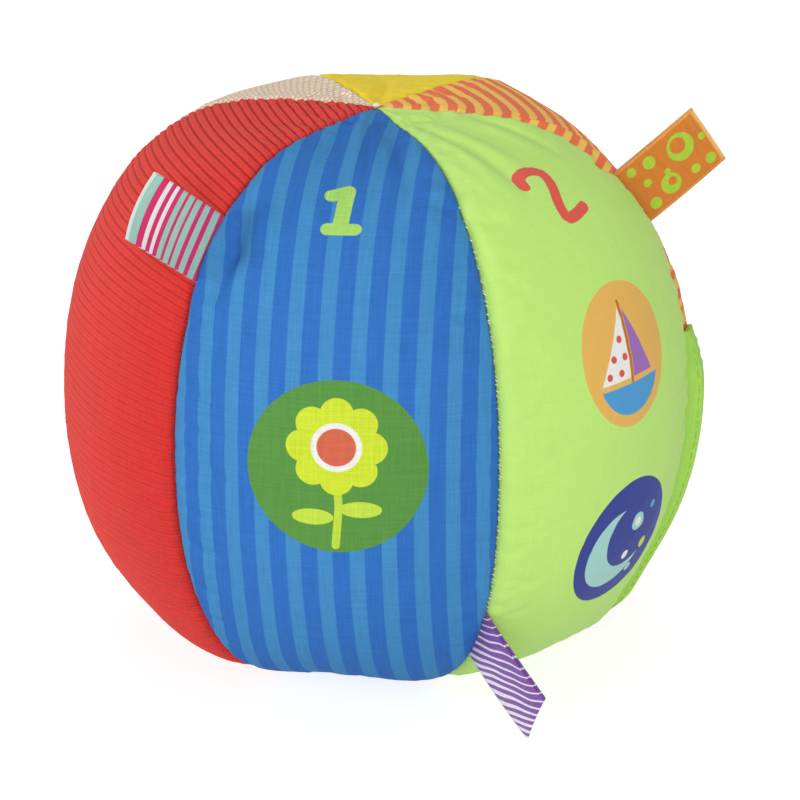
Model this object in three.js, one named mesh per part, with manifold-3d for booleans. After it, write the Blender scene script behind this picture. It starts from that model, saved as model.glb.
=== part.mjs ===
// A soft musical ball: six sewn fabric gores round a stuffed core, three folded ribbon tags in the seams, and a
// touch-tape closure over the pocket of a battery sound module. Millimetres, +Z up, origin on the axis where the
// ball's flattened underside rests.
import * as THREE from 'three';
import { mergeVertices } from 'three/addons/utils/BufferGeometryUtils.js';
import Module from 'manifold-3d';

const wasm = await Module();
wasm.setup();

// Ball cover
const BALL_RADIUS = 74.4;
const BALL_HALF_HEIGHT = 68.3;
const SHOULDER_EXPONENT = 0.683;
const CAP_EXPONENT = 0.914;
const SEAM_DEG = [-120, -60, 0, 60, 120, 168];
// One seam wanders towards its next panel: which, how far, at what angle down and over what spread
const WANDER_SEAM = 2;
const WANDER_DEG = 8.5;
const WANDER_AT_DEG = 54;
const WANDER_SPREAD_DEG = 16;
const PANEL_CROWN = 1.0;
const PANEL_THICKNESS = 1.6;
const SEAM_GAP = 0.4;
const SEAM_DEPTH = 1.2;
const SEAM_HALF_WIDTH = 4.0;
const POLE_DIMPLE = 1.4;
const POLE_DIMPLE_SPREAD = 0.35;
const REST_DEPTH = 1.8;
const TACK_RADIUS = 2.0;
const CLEARANCE = 0.3;
// Where the filling is slack, or full if negative: angle down, azimuth, depth, and the spread of each angle
const HOLLOWS = [
  [52, 20, 3.2, 26, 24],
  [153, -92, 3.4, 14, 20],
  [68, -172, 1.4, 26, 22],
  [143, -127, -1.3, 14, 18],
];

// Closure on the seam at azimuth 0, in degrees down the meridian from the top pole
const CLOSURE_TOP_DEG = 80;
const CLOSURE_END_DEG = 148;
const BULGE_HEIGHT = 5.0;
const BULGE_AT_DEG = 147;
const BULGE_SPREAD_DEG = 13;
const BULGE_SIDE_DEG = 17;
const FLAP_WIDTH = 12.5;
const FLAP_THICKNESS = 1.2;
const TAPE_WIDTH = 6.6;
const TAPE_THICKNESS = 0.8;
const TAPE_INSET = 3.6;
const TAPE_END_DEG = 12;

// Ribbon tags
const RIBBON_WIDTH = 16;
const RIBBON_THICKNESS = 0.7;
const TAG_BASE_RADIUS = 0.9;
const TAG_TIP_RADIUS = 1.6;
const TAG_SEWN_LENGTH = 3.0;
const PINK_LENGTH = 22;
const ORANGE_LENGTH = 22.8;
const PURPLE_LENGTH = 22.8;

// Sound module behind the closure: its case is sized by what it holds
const MODULE_BACK_X = 20;
const MODULE_DROP = 12;
const CASE_CORNER = 7;
const CASE_WALL = 2;
const POUCH_WALL = 0.8;

// Battery cells and their tray
const CELL_DIAMETER = 10.5;
const CELL_LENGTH = 44.5;
const CELL_GAP = 0.7;
const NUB_RADIUS = 2.5;
const NUB_LENGTH = 1.0;
const CELL_CHAMFER = 0.6;
const TRAY_WALL = 1.2;
const TRAY_END_ROOM = 9.5;
const TRAY_SIDE_ROOM = 1.15;
const CONTACT_THICKNESS = 0.5;
const CONTACT_HEIGHT = 9;
const SPRING_LENGTH = 4;
const SPRING_WIRE = 0.6;
const SPRING_BASE_RADIUS = 3.4;
const SPRING_TIP_RADIUS = 2.2;
const SPRING_TURNS = 3;
const DOOR_THICKNESS = 1.5;
const DOOR_TONGUE = 6.5;

// Screws and the posts that take them
const SCREW_RADIUS = 1.1;
const SCREW_HEAD_RADIUS = 2.3;
const SCREW_HEAD_HEIGHT = 1.5;
const SCREW_SLOT = 0.7;
const CASE_SCREW_REACH = 8;
const DOOR_SCREW_LENGTH = 9;
const POST_RADIUS = 3.0;
const POST_INSET = 5.0;

// Circuit board, chip and the pins that hold the board
const BOARD_THICKNESS = 1.6;
const BOARD_WIDTH = 14.6;
const BOARD_LENGTH = 45.5;
const BOARD_DROP = 2.75;
const BOARD_GAP = 1.2;
const BOARD_DEPTH = 7.4;
const PIN_RADIUS = 1.0;
const PIN_HEEL_RADIUS = 2.2;
const PIN_END = 3.5;
const PIN_GAP = 3;
const CHIP_RADIUS = 3.4;
const CHIP_HEIGHT = 1.5;

// Speaker
const SPEAKER_RADIUS = 18;
const SPEAKER_DROP = 11;
const FLANGE_HEIGHT = 1.2;
const FLANGE_WIDTH = 2.2;
const BASKET_DEPTH = 5.9;
const BASKET_WALL = 1.0;
const BASKET_BACK_RADIUS = 13;
const BASKET_HOLE_RADIUS = 7;
const CONE_THICKNESS = 0.6;
const CONE_TRAVEL = 0.5;
const MAGNET_RADIUS = 10.5;
const MAGNET_HEIGHT = 3;
const GRILLE_HOLE_RADIUS = 1.4;
const GRILLE_PITCH = 5.2;

// Slide switch and motion switch
const SWITCH_LENGTH = 8.6;
const SWITCH_WIDTH = 4.4;
const SWITCH_TRAVEL = 2.4;
const KNOB_LENGTH = 2.6;
const KNOB_WIDTH = 2;
const KNOB_FOOT = 2;
const KNOB_PROUD = 1.2;
const CAN_RADIUS = 2.6;
const CAN_LENGTH = 9;
const CAN_WALL = 0.4;
const CAN_CAP = 1.2;
const CAN_BALL_RADIUS = 1.6;
const LEAD_RADIUS = 0.6;

const TAU = 2 * Math.PI;
const rad = THREE.MathUtils.degToRad;
const CENTRE_HEIGHT = BALL_HALF_HEIGHT - REST_DEPTH;
const PANEL_COUNT = SEAM_DEG.length;
const SEAMS = [...SEAM_DEG.map(rad), rad(SEAM_DEG[0]) + TAU];
const TIP_RADIUS = TACK_RADIUS + CLEARANCE;
const TIP_ANGLE = Math.asin((TIP_RADIUS / BALL_RADIUS) ** (1 / SHOULDER_EXPONENT));
const REST_ANGLE = Math.PI - Math.acos((CENTRE_HEIGHT / BALL_HALF_HEIGHT) ** (1 / CAP_EXPONENT));

const ball = new THREE.Group();

function addMesh(parent, name, geometry, colour, roughness, metalness = 0) {
  const material = new THREE.MeshStandardMaterial({ color: colour, roughness, metalness });
  const mesh = new THREE.Mesh(geometry, material);
  mesh.name = name;
  parent.add(mesh);
  return mesh;
}

// Closed geometry from vertices and triangles, wound so that its faces point outwards.
function closedGeometry(points, triangles) {
  let volume = 0;
  for (const [a, b, c] of triangles) {
    volume += points[a].dot(new THREE.Vector3().crossVectors(points[b], points[c]));
  }
  const wound = volume < 0 ? triangles.map(([a, b, c]) => [a, c, b]) : triangles;
  const geometry = new THREE.BufferGeometry().setFromPoints(points);
  geometry.setIndex(wound.flat());
  geometry.computeVertexNormals();
  return geometry;
}

function toSolid(geometry) {
  const bare = geometry.clone();
  bare.deleteAttribute('normal');
  bare.deleteAttribute('uv');
  const merged = mergeVertices(bare, 1e-4);
  const vertProperties = new Float32Array(merged.attributes.position.array);
  const triVerts = new Uint32Array(merged.index.array);
  return new wasm.Manifold(new wasm.Mesh({ numProp: 3, vertProperties, triVerts }));
}

function fromSolid(solid) {
  const mesh = solid.getMesh();
  const geometry = new THREE.BufferGeometry();
  geometry.setAttribute('position', new THREE.BufferAttribute(new Float32Array(mesh.vertProperties), 3));
  geometry.setIndex(new THREE.BufferAttribute(new Uint32Array(mesh.triVerts), 1));
  geometry.computeVertexNormals();
  return geometry;
}

function cut(geometry, ...tools) {
  return fromSolid(tools.reduce((solid, tool) => solid.subtract(toSolid(tool)), toSolid(geometry)));
}

function join(geometry, ...others) {
  return fromSolid(others.reduce((solid, other) => solid.add(toSolid(other)), toSolid(geometry)));
}

// A sheet with thickness: two equal grids of points, closed round the rim.
function slab(rows, columns, outerPoint, innerPoint) {
  const points = [];
  const triangles = [];
  for (const place of [outerPoint, innerPoint]) {
    for (let i = 0; i < rows; i += 1) {
      for (let j = 0; j < columns; j += 1) {
        points.push(place(i, j));
      }
    }
  }
  const outer = (i, j) => i * columns + j;
  const inner = (i, j) => rows * columns + outer(i, j);
  const quad = (a, b, c, d) => triangles.push([a, b, c], [a, c, d]);
  for (let i = 0; i < rows - 1; i += 1) {
    for (let j = 0; j < columns - 1; j += 1) {
      quad(outer(i, j), outer(i + 1, j), outer(i + 1, j + 1), outer(i, j + 1));
      quad(inner(i, j), inner(i, j + 1), inner(i + 1, j + 1), inner(i + 1, j));
    }
    quad(outer(i, 0), inner(i, 0), inner(i + 1, 0), outer(i + 1, 0));
    quad(outer(i, columns - 1), outer(i + 1, columns - 1), inner(i + 1, columns - 1), inner(i, columns - 1));
  }
  for (let j = 0; j < columns - 1; j += 1) {
    quad(outer(0, j), outer(0, j + 1), inner(0, j + 1), inner(0, j));
    quad(outer(rows - 1, j), inner(rows - 1, j), inner(rows - 1, j + 1), outer(rows - 1, j + 1));
  }
  return closedGeometry(points, triangles);
}

// Radius of the seam meridian at an angle down from the top pole.
function ringRadius(angle) {
  return BALL_RADIUS * Math.abs(Math.sin(angle)) ** SHOULDER_EXPONENT;
}

const wrap = (angle) => Math.atan2(Math.sin(angle), Math.cos(angle));

// Azimuth of a seam, and the span and middle of the panel that follows it, at an angle down from the top pole.
function seamAt(index, angle) {
  const down = (angle - rad(WANDER_AT_DEG)) / rad(WANDER_SPREAD_DEG);
  return SEAMS[index] + (index === WANDER_SEAM ? rad(WANDER_DEG) * Math.exp(-down * down) : 0);
}
const panelSpan = (index, angle) => seamAt(index + 1, angle) - seamAt(index, angle);
const panelMiddle = (index, angle) => (seamAt(index, angle) + seamAt(index + 1, angle)) / 2;

// Depth of the slack places of the filling.
function hollowDepth(angle, azimuth) {
  let total = 0;
  for (const [angleDeg, azimuthDeg, depth, angleSpread, azimuthSpread] of HOLLOWS) {
    const down = (angle - rad(angleDeg)) / rad(angleSpread);
    const side = wrap(azimuth - rad(azimuthDeg)) / rad(azimuthSpread);
    total += depth * Math.exp(-side * side - down * down);
  }
  return total;
}

// Point of the stuffed cover: crowned panels, drawn-in seams, slack filling, a dimple on top, a flat underside.
function skin(angle, azimuth, depth = 0, seamDepth = SEAM_DEPTH) {
  const ring = ringRadius(angle);
  const rise = BALL_HALF_HEIGHT * Math.sign(Math.cos(angle)) * Math.abs(Math.cos(angle)) ** CAP_EXPONENT;
  const turned = azimuth - TAU * Math.floor((azimuth - SEAMS[0]) / TAU);
  const last = SEAMS.findLastIndex((seam, k) => seamAt(k, angle) <= turned);
  const index = THREE.MathUtils.clamp(last, 0, PANEL_COUNT - 1);
  const along = (turned - seamAt(index, angle)) / panelSpan(index, angle);
  const fromSeam = ring * panelSpan(index, angle) * Math.min(along, 1 - along);
  const crown = PANEL_CROWN * (1 - (2 * along - 1) ** 2) * Math.sin(angle);
  const valley = seamDepth * Math.max(0, 1 - fromSeam / SEAM_HALF_WIDTH) ** 2;
  const side = wrap(azimuth) / rad(BULGE_SIDE_DEG);
  const down = (angle - rad(BULGE_AT_DEG)) / rad(BULGE_SPREAD_DEG);
  const bulge = BULGE_HEIGHT * Math.exp(-side * side - down * down);
  const scale = 1 + (crown - valley + bulge - hollowDepth(angle, azimuth) - depth) / Math.hypot(ring, rise);
  const dimple = rise > 0 ? POLE_DIMPLE * Math.exp(-((Math.sin(angle) / POLE_DIMPLE_SPREAD) ** 2)) : 0;
  const z = Math.max(CENTRE_HEIGHT + rise * scale - dimple, depth);
  return new THREE.Vector3(ring * scale * Math.cos(azimuth), ring * scale * Math.sin(azimuth), z);
}

// Angles at even steps of length down the meridian between two angles, on a panel without slack.
const LEVEL_AZIMUTH = Math.PI / 2;
function evenAngles(first, last, count) {
  const fine = 600;
  const lengths = [0];
  const at = (k) => first + ((last - first) * k) / fine;
  for (let k = 1; k <= fine; k += 1) {
    lengths.push(lengths[k - 1] + skin(at(k), LEVEL_AZIMUTH).distanceTo(skin(at(k - 1), LEVEL_AZIMUTH)));
  }
  const angles = [];
  let k = 0;
  for (let i = 0; i < count; i += 1) {
    const target = (lengths[fine] * i) / (count - 1);
    while (k < fine && lengths[k] < target - 1e-9) {
      k += 1;
    }
    angles.push(at(k));
  }
  return angles;
}

const UPPER_ROWS = 21;
const REST_ROWS = 4;
const panelAngles = [
  ...evenAngles(TIP_ANGLE, REST_ANGLE, UPPER_ROWS),
  ...evenAngles(REST_ANGLE, Math.PI - TIP_ANGLE, REST_ROWS).slice(1),
];
const panelSteps = [-1, -0.955, -0.9, -0.5, 0, 0.5, 0.9, 0.955, 1];
const coreSteps = [-1, -0.9, -0.5, 0, 0.5, 0.9];

// One gore: a lens-shaped piece of cloth from pole to pole, held half a seam gap from each neighbour.
function panelGeometry(index) {
  const place = (depth) => (i, j) => {
    const angle = panelAngles[i];
    const half = panelSpan(index, angle) / 2 - SEAM_GAP / 2 / ringRadius(angle);
    return skin(angle, panelMiddle(index, angle) + half * panelSteps[j], depth);
  };
  return slab(panelAngles.length, panelSteps.length, place(0), place(PANEL_THICKNESS));
}

// The whole ball's shape at a depth under the cover.
function coreGeometry(depth) {
  const count = PANEL_COUNT * coreSteps.length;
  const points = [];
  for (const angle of panelAngles) {
    for (let index = 0; index < PANEL_COUNT; index += 1) {
      for (const step of coreSteps) {
        points.push(skin(angle, panelMiddle(index, angle) + (panelSpan(index, angle) * step) / 2, depth));
      }
    }
  }
  const top = points.length;
  const last = (panelAngles.length - 1) * count;
  points.push(new THREE.Vector3(0, 0, points[0].z));
  points.push(new THREE.Vector3(0, 0, points[last].z));
  const triangles = [];
  for (let j = 0; j < count; j += 1) {
    const next = (j + 1) % count;
    triangles.push([top, j, next]);
    for (let i = 0; i < panelAngles.length - 1; i += 1) {
      const a = i * count;
      const b = a + count;
      triangles.push([a + j, b + j, b + next], [a + j, b + next, a + next]);
    }
    triangles.push([top + 1, last + next, last + j]);
  }
  return closedGeometry(points, triangles);
}

// Fabric gores, in order round the ball from the first seam.
const panels = [
  ['panel_blue', '#3f7ec6'],
  ['panel_green', '#c3e982'],
  ['panel_orange', '#e08a4a'],
  ['panel_yellow', '#e5c643'],
  ['panel_beige', '#efd2ae'],
  ['panel_red', '#d8433f'],
];
panels.forEach(([name, colour], index) => addMesh(ball, name, panelGeometry(index), colour, 0.9));

// Thread tacks that close the small hole where the six tips meet at each pole.
const poleTop = skin(TIP_ANGLE, panelMiddle(0, TIP_ANGLE)).z;
for (const [name, topFace] of [['pole_tack_top', poleTop], ['pole_tack_bottom', PANEL_THICKNESS]]) {
  const tack = new THREE.CylinderGeometry(TACK_RADIUS, TACK_RADIUS, PANEL_THICKNESS, 16);
  tack.rotateX(Math.PI / 2);
  tack.translate(0, 0, topFace - PANEL_THICKNESS / 2);
  addMesh(ball, name, tack, '#f2efe6', 0.8);
}

// Closure: tapes and flap lie over the seam's crest, measured round the ball from the seam plane.
const crest = (angle, reach, height) => skin(angle, reach / ringRadius(angle), -height, 0);

function tapeGeometry(base) {
  const angles = evenAngles(rad(CLOSURE_TOP_DEG + TAPE_END_DEG), rad(CLOSURE_END_DEG - TAPE_END_DEG), 8);
  const reach = (j) => TAPE_INSET + (TAPE_WIDTH * j) / 3;
  const place = (height) => (i, j) => crest(angles[i], reach(j), height);
  return slab(angles.length, 4, place(base + TAPE_THICKNESS), place(base));
}

const LOOP_BASE = CLEARANCE;
const HOOK_BASE = LOOP_BASE + TAPE_THICKNESS + CLEARANCE;
const FLAP_LIFT = HOOK_BASE + TAPE_THICKNESS + CLEARANCE;
addMesh(ball, 'loop_tape', tapeGeometry(LOOP_BASE), '#b9dc7c', 0.95);
addMesh(ball, 'hook_tape', tapeGeometry(HOOK_BASE), '#cfe7a0', 0.8);

const smooth = (from, to, value) => THREE.MathUtils.smoothstep(value, from, to);

// The flap lies low at its sewn edge and ends and rises over the tapes, with rounded corners.
function flapGeometry() {
  const angles = evenAngles(rad(CLOSURE_TOP_DEG), rad(CLOSURE_END_DEG), 15);
  const columns = 9;
  const place = (height) => (i, j) => {
    const u = (2 * i) / (angles.length - 1) - 1;
    const width = FLAP_WIDTH * (0.35 + 0.65 * (1 - Math.abs(u) ** 8) ** 0.5);
    const reach = (width * j) / (columns - 1);
    const ends = smooth(0, TAPE_END_DEG - 4, THREE.MathUtils.radToDeg(angles[i]) - CLOSURE_TOP_DEG)
      * smooth(0, TAPE_END_DEG - 4, CLOSURE_END_DEG - THREE.MathUtils.radToDeg(angles[i]));
    const across = smooth(0.5, TAPE_INSET - 0.6, reach);
    return crest(angles[i], reach, CLEARANCE + (FLAP_LIFT - CLEARANCE) * ends * across + height);
  };
  return slab(angles.length, columns, place(FLAP_THICKNESS), place(0));
}
addMesh(ball, 'closure_flap', flapGeometry(), '#b6e06f', 0.9);

// A ribbon folded in half: a pinched, sewn base on the seam and a loop that opens towards its tip.
function tagGeometry(length) {
  const outline = (wall) => {
    const base = TAG_BASE_RADIUS - wall;
    const tip = TAG_TIP_RADIUS - wall;
    const start = wall > 0 ? TAG_SEWN_LENGTH : 0;
    const points = [];
    for (let k = 0; k <= 6; k += 1) {
      const a = (Math.PI * k) / 6;
      points.push(new THREE.Vector2(tip * Math.cos(a), length - TAG_TIP_RADIUS + tip * Math.sin(a)));
    }
    for (let k = 0; k <= 4; k += 1) {
      const a = Math.PI + (Math.PI * k) / 4;
      points.push(new THREE.Vector2(base * Math.cos(a), start + base * Math.sin(a)));
    }
    return points;
  };
  const shape = new THREE.Shape(outline(0));
  shape.holes.push(new THREE.Path(outline(RIBBON_THICKNESS)));
  const geometry = new THREE.ExtrudeGeometry(shape, { depth: RIBBON_WIDTH, bevelEnabled: false });
  geometry.translate(0, 0, -RIBBON_WIDTH / 2);
  return geometry;
}

// Tags stand in the seams: meridian angle, seam, lean towards the next panel and length.
const tags = [
  ['tag_pink', 47.6, 0, -8, PINK_LENGTH, '#dc4d84'],
  ['tag_orange', 50.2, WANDER_SEAM, 14.5, ORANGE_LENGTH, '#d07a2e'],
  ['tag_purple', 126.6, 1, 10.3, PURPLE_LENGTH, '#8463b0'],
];
for (const [name, angleDeg, seam, leanDeg, length, colour] of tags) {
  const angle = rad(angleDeg);
  const azimuth = seamAt(seam, angle);
  const onSeam = (at) => skin(at, seamAt(seam, at));
  const foot = onSeam(angle);
  const along = onSeam(angle + 0.1).sub(onSeam(angle - 0.1)).normalize();
  const east = new THREE.Vector3(-Math.sin(azimuth), Math.cos(azimuth), 0);
  const out = new THREE.Vector3().crossVectors(along, east).normalize();
  const aside = new THREE.Vector3().crossVectors(out, along);
  const lean = rad(leanDeg);
  const up = out.clone().multiplyScalar(Math.cos(lean)).addScaledVector(aside, Math.sin(lean));
  const thick = new THREE.Vector3().crossVectors(up, along);
  const mesh = addMesh(ball, name, tagGeometry(length), colour, 0.6);
  mesh.quaternion.setFromRotationMatrix(new THREE.Matrix4().makeBasis(thick, up, along));
  mesh.position.copy(foot).addScaledVector(out, TAG_BASE_RADIUS + 2 * CLEARANCE);
}

// Layout of the sound module, seen on its face: x across, y up, z from the speaker side towards the closure.
const CELL_PITCH = CELL_DIAMETER + CELL_GAP;
const TRAY_LENGTH = CELL_LENGTH + SPRING_LENGTH + 2 * CONTACT_THICKNESS + 5 * CLEARANCE;
const TRAY_WIDTH = CELL_PITCH + CELL_DIAMETER + 2 * CLEARANCE;
const SPEAKER_DEPTH = BASKET_DEPTH + CLEARANCE + MAGNET_HEIGHT;
const CASE_SPLIT = CASE_WALL + CLEARANCE + SPEAKER_DEPTH + 2 * CLEARANCE;
const MODULE_HEIGHT = TRAY_LENGTH + 2 * TRAY_END_ROOM;
const TRAY_SPACE = TRAY_SIDE_ROOM + 2 * TRAY_WALL + TRAY_WIDTH;
const MODULE_WIDTH = 2 * CASE_WALL + TRAY_SPACE + BOARD_GAP + BOARD_WIDTH + CLEARANCE;
const SPLIT_LOW = CASE_SPLIT - CLEARANCE / 2;
const SPLIT_HIGH = CASE_SPLIT + CLEARANCE / 2;
const trayFloor = SPLIT_HIGH + TRAY_WALL;
const doorSeat = trayFloor + CLEARANCE + CELL_DIAMETER + CLEARANCE;
const MODULE_DEPTH = doorSeat + CLEARANCE + DOOR_THICKNESS;
const faceInside = MODULE_DEPTH - CASE_WALL;
const trayLeft = -MODULE_WIDTH / 2 + CASE_WALL + TRAY_SIDE_ROOM + TRAY_WALL;
const trayRight = trayLeft + TRAY_WIDTH;
const trayMiddle = (trayLeft + trayRight) / 2;
const trayEnd = TRAY_LENGTH / 2;
const boardLeft = trayRight + TRAY_WALL + BOARD_GAP;
const boardRight = boardLeft + BOARD_WIDTH;
const boardMiddle = (boardLeft + boardRight) / 2;
const boardTop = faceInside - BOARD_DEPTH + BOARD_THICKNESS;
const boardBottom = boardTop - BOARD_THICKNESS;
const boardLow = -BOARD_LENGTH / 2 - BOARD_DROP;
const boardHigh = boardLow + BOARD_LENGTH;

function roundedShape(width, height, corner) {
  const x = width / 2;
  const y = height / 2;
  const shape = new THREE.Shape();
  shape.moveTo(-x + corner, -y);
  shape.lineTo(x - corner, -y);
  shape.absarc(x - corner, -y + corner, corner, -Math.PI / 2, 0, false);
  shape.lineTo(x, y - corner);
  shape.absarc(x - corner, y - corner, corner, 0, Math.PI / 2, false);
  shape.lineTo(-x + corner, y);
  shape.absarc(-x + corner, y - corner, corner, Math.PI / 2, Math.PI, false);
  shape.lineTo(-x, -y + corner);
  shape.absarc(-x + corner, -y + corner, corner, Math.PI, 1.5 * Math.PI, false);
  return shape;
}

function roundedBlock(inset, z0, z1) {
  const corner = CASE_CORNER - inset;
  const shape = roundedShape(MODULE_WIDTH - 2 * inset, MODULE_HEIGHT - 2 * inset, corner);
  const geometry = new THREE.ExtrudeGeometry(shape, { depth: z1 - z0, bevelEnabled: false, curveSegments: 4 });
  geometry.translate(0, 0, z0);
  return geometry;
}

function box(x0, x1, y0, y1, z0, z1) {
  const geometry = new THREE.BoxGeometry(x1 - x0, y1 - y0, z1 - z0);
  geometry.translate((x0 + x1) / 2, (y0 + y1) / 2, (z0 + z1) / 2);
  return geometry;
}

function rod(x, y, radius, z0, z1, sides = 12) {
  const geometry = new THREE.CylinderGeometry(radius, radius, z1 - z0, sides);
  geometry.rotateX(Math.PI / 2);
  geometry.translate(x, y, (z0 + z1) / 2);
  return geometry;
}

// Closed geometry on positions alone, with collapsed triangles dropped and its faces pointing out.
function facingOut(source) {
  const bare = source.clone();
  bare.deleteAttribute('normal');
  bare.deleteAttribute('uv');
  const geometry = mergeVertices(bare, 1e-4);
  const position = geometry.attributes.position;
  const points = [];
  for (let k = 0; k < position.count; k += 1) {
    points.push(new THREE.Vector3().fromBufferAttribute(position, k));
  }
  const index = geometry.index.array;
  const triangles = [];
  for (let k = 0; k < index.length; k += 3) {
    const [a, b, c] = [index[k], index[k + 1], index[k + 2]];
    if (a !== b && b !== c && a !== c) {
      triangles.push([a, b, c]);
    }
  }
  return closedGeometry(points, triangles);
}

// A profile of radius and height turned about the z axis.
function turned(profile, segments) {
  const geometry = new THREE.LatheGeometry(profile.map(([r, z]) => new THREE.Vector2(r, z)), segments);
  geometry.rotateX(Math.PI / 2);
  return facingOut(geometry);
}

const sound = new THREE.Group();
const across = new THREE.Vector3(0, 1, 0);
const upward = new THREE.Vector3(0, 0, 1);
const outward = new THREE.Vector3(1, 0, 0);
sound.quaternion.setFromRotationMatrix(new THREE.Matrix4().makeBasis(across, upward, outward));
sound.position.set(MODULE_BACK_X, 0, CENTRE_HEIGHT - MODULE_DROP);
sound.updateMatrix();
ball.add(sound);

// Stuffing with the module's pocket, and the cloth pouch that lines the pocket up to the cover.
const pouchInset = -CLEARANCE - POUCH_WALL;
const beyond = 2 * BALL_RADIUS;
const inBall = (geometry) => geometry.applyMatrix4(sound.matrix);
const pocket = inBall(roundedBlock(pouchInset - CLEARANCE, pouchInset - CLEARANCE, beyond));
const pouchOuter = inBall(roundedBlock(pouchInset, pouchInset, beyond));
const pouchInner = inBall(roundedBlock(-CLEARANCE, -CLEARANCE, beyond + 1));
const core = coreGeometry(PANEL_THICKNESS + CLEARANCE);
addMesh(ball, 'stuffing', cut(core, pocket), '#f4f3ef', 1);
const pouch = toSolid(pouchOuter).subtract(toSolid(pouchInner)).intersect(toSolid(core));
addMesh(ball, 'module_pouch', fromSolid(pouch), '#e9e6dc', 0.95);

// Back half of the case: speaker grille, and posts whose screws come from the speaker side.
const postX = MODULE_WIDTH / 2 - POST_INSET;
const postY = MODULE_HEIGHT / 2 - POST_INSET;
const posts = [[-postX, -postY], [postX, -postY], [postX, postY], [-postX, postY]];
const pilot = SCREW_RADIUS + CLEARANCE;
const headWell = SCREW_HEAD_RADIUS + CLEARANCE;
const headTop = CLEARANCE + SCREW_HEAD_HEIGHT;
const screwTip = CASE_SPLIT + CASE_SCREW_REACH;
const speakerY = -SPEAKER_DROP;

function grilleHoles() {
  const holes = [];
  for (let row = -2; row <= 2; row += 1) {
    const count = 5 - Math.abs(row);
    for (let k = 0; k < count; k += 1) {
      const x = (k - (count - 1) / 2) * GRILLE_PITCH;
      const y = speakerY + row * GRILLE_PITCH * Math.sin(Math.PI / 3);
      holes.push(rod(x, y, GRILLE_HOLE_RADIUS, -1, CASE_WALL + 1, 6));
    }
  }
  return holes;
}

const backShell = cut(roundedBlock(0, 0, SPLIT_LOW), roundedBlock(CASE_WALL, CASE_WALL, CASE_SPLIT + 1));
const backPosts = posts.map(([x, y]) => rod(x, y, POST_RADIUS, CASE_WALL / 2, SPLIT_LOW));
const backBores = posts.flatMap(([x, y]) => [
  rod(x, y, pilot, -1, CASE_SPLIT + 1, 10),
  rod(x, y, headWell, -1, headTop + CLEARANCE),
]);
addMesh(sound, 'case_back', cut(join(backShell, ...backPosts), ...backBores, ...grilleHoles()), '#f1f1ee', 0.45);

// Front half: face wall, battery tray open to the face, screw posts, board pins and the switch slot.
const rebateLeft = trayLeft - TRAY_WALL / 2;
const rebateRight = trayRight + TRAY_WALL / 2;
const rebateLow = -trayEnd - TRAY_WALL / 2;
const rebateHigh = trayEnd + DOOR_TONGUE;
const doorScrewY = trayEnd + TRAY_WALL / 2 + DOOR_TONGUE / 2;
const switchX = boardMiddle;
const switchY = boardHigh - SWITCH_LENGTH;
const highPin = switchY - SWITCH_WIDTH / 2 - PIN_GAP - PIN_HEEL_RADIUS;
const boardPins = [[boardMiddle, boardLow + PIN_END], [boardMiddle, highPin]];
const slotHalf = (KNOB_LENGTH + SWITCH_TRAVEL) / 2 + 2 * CLEARANCE;
const slotSide = KNOB_WIDTH / 2 + CLEARANCE;
const frontShell = cut(
  roundedBlock(0, SPLIT_HIGH, MODULE_DEPTH),
  roundedBlock(CASE_WALL, SPLIT_HIGH - 1, faceInside),
);
const shelfLow = doorSeat - CASE_WALL;
const frontAdded = [
  ...posts.map(([x, y]) => rod(x, y, POST_RADIUS, SPLIT_HIGH, faceInside + 1)),
  box(trayLeft - TRAY_WALL, trayRight + TRAY_WALL, -trayEnd - TRAY_WALL, trayEnd + TRAY_WALL,
    SPLIT_HIGH, faceInside + 1),
  box(trayLeft - TRAY_WALL, trayRight + TRAY_WALL, trayEnd, MODULE_HEIGHT / 2 - CASE_WALL / 2,
    shelfLow, faceInside + 1),
  ...boardPins.map(([x, y]) => rod(x, y, PIN_HEEL_RADIUS, boardTop + CLEARANCE, faceInside + 1)),
  ...boardPins.map(([x, y]) => rod(x, y, PIN_RADIUS, boardBottom - PIN_RADIUS, faceInside, 8)),
];
const leadHoleZ = trayFloor + 2.4 * (LEAD_RADIUS + CLEARANCE);
const cellX = [trayMiddle - CELL_PITCH / 2, trayMiddle + CELL_PITCH / 2];
const leadHole = (x) => {
  const bore = LEAD_RADIUS + CLEARANCE;
  const hole = new THREE.CylinderGeometry(bore, bore, 3 * TRAY_WALL, 8);
  hole.translate(x, trayEnd + TRAY_WALL / 2, leadHoleZ);
  return hole;
};
const frontCuts = [
  ...posts.map(([x, y]) => rod(x, y, pilot, SPLIT_HIGH - 1, screwTip + 1, 10)),
  box(trayLeft, trayRight, -trayEnd, trayEnd, trayFloor, MODULE_DEPTH + 1),
  box(rebateLeft, rebateRight, rebateLow, rebateHigh, doorSeat, MODULE_DEPTH + 1),
  rod(trayMiddle, doorScrewY, pilot, shelfLow - 1, MODULE_DEPTH, 10),
  box(switchX - slotHalf, switchX + slotHalf, switchY - slotSide, switchY + slotSide,
    faceInside - 1, MODULE_DEPTH + 1),
  ...cellX.map(leadHole),
];
addMesh(sound, 'case_front', cut(join(frontShell, ...frontAdded), ...frontCuts), '#f1f1ee', 0.45);

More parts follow.
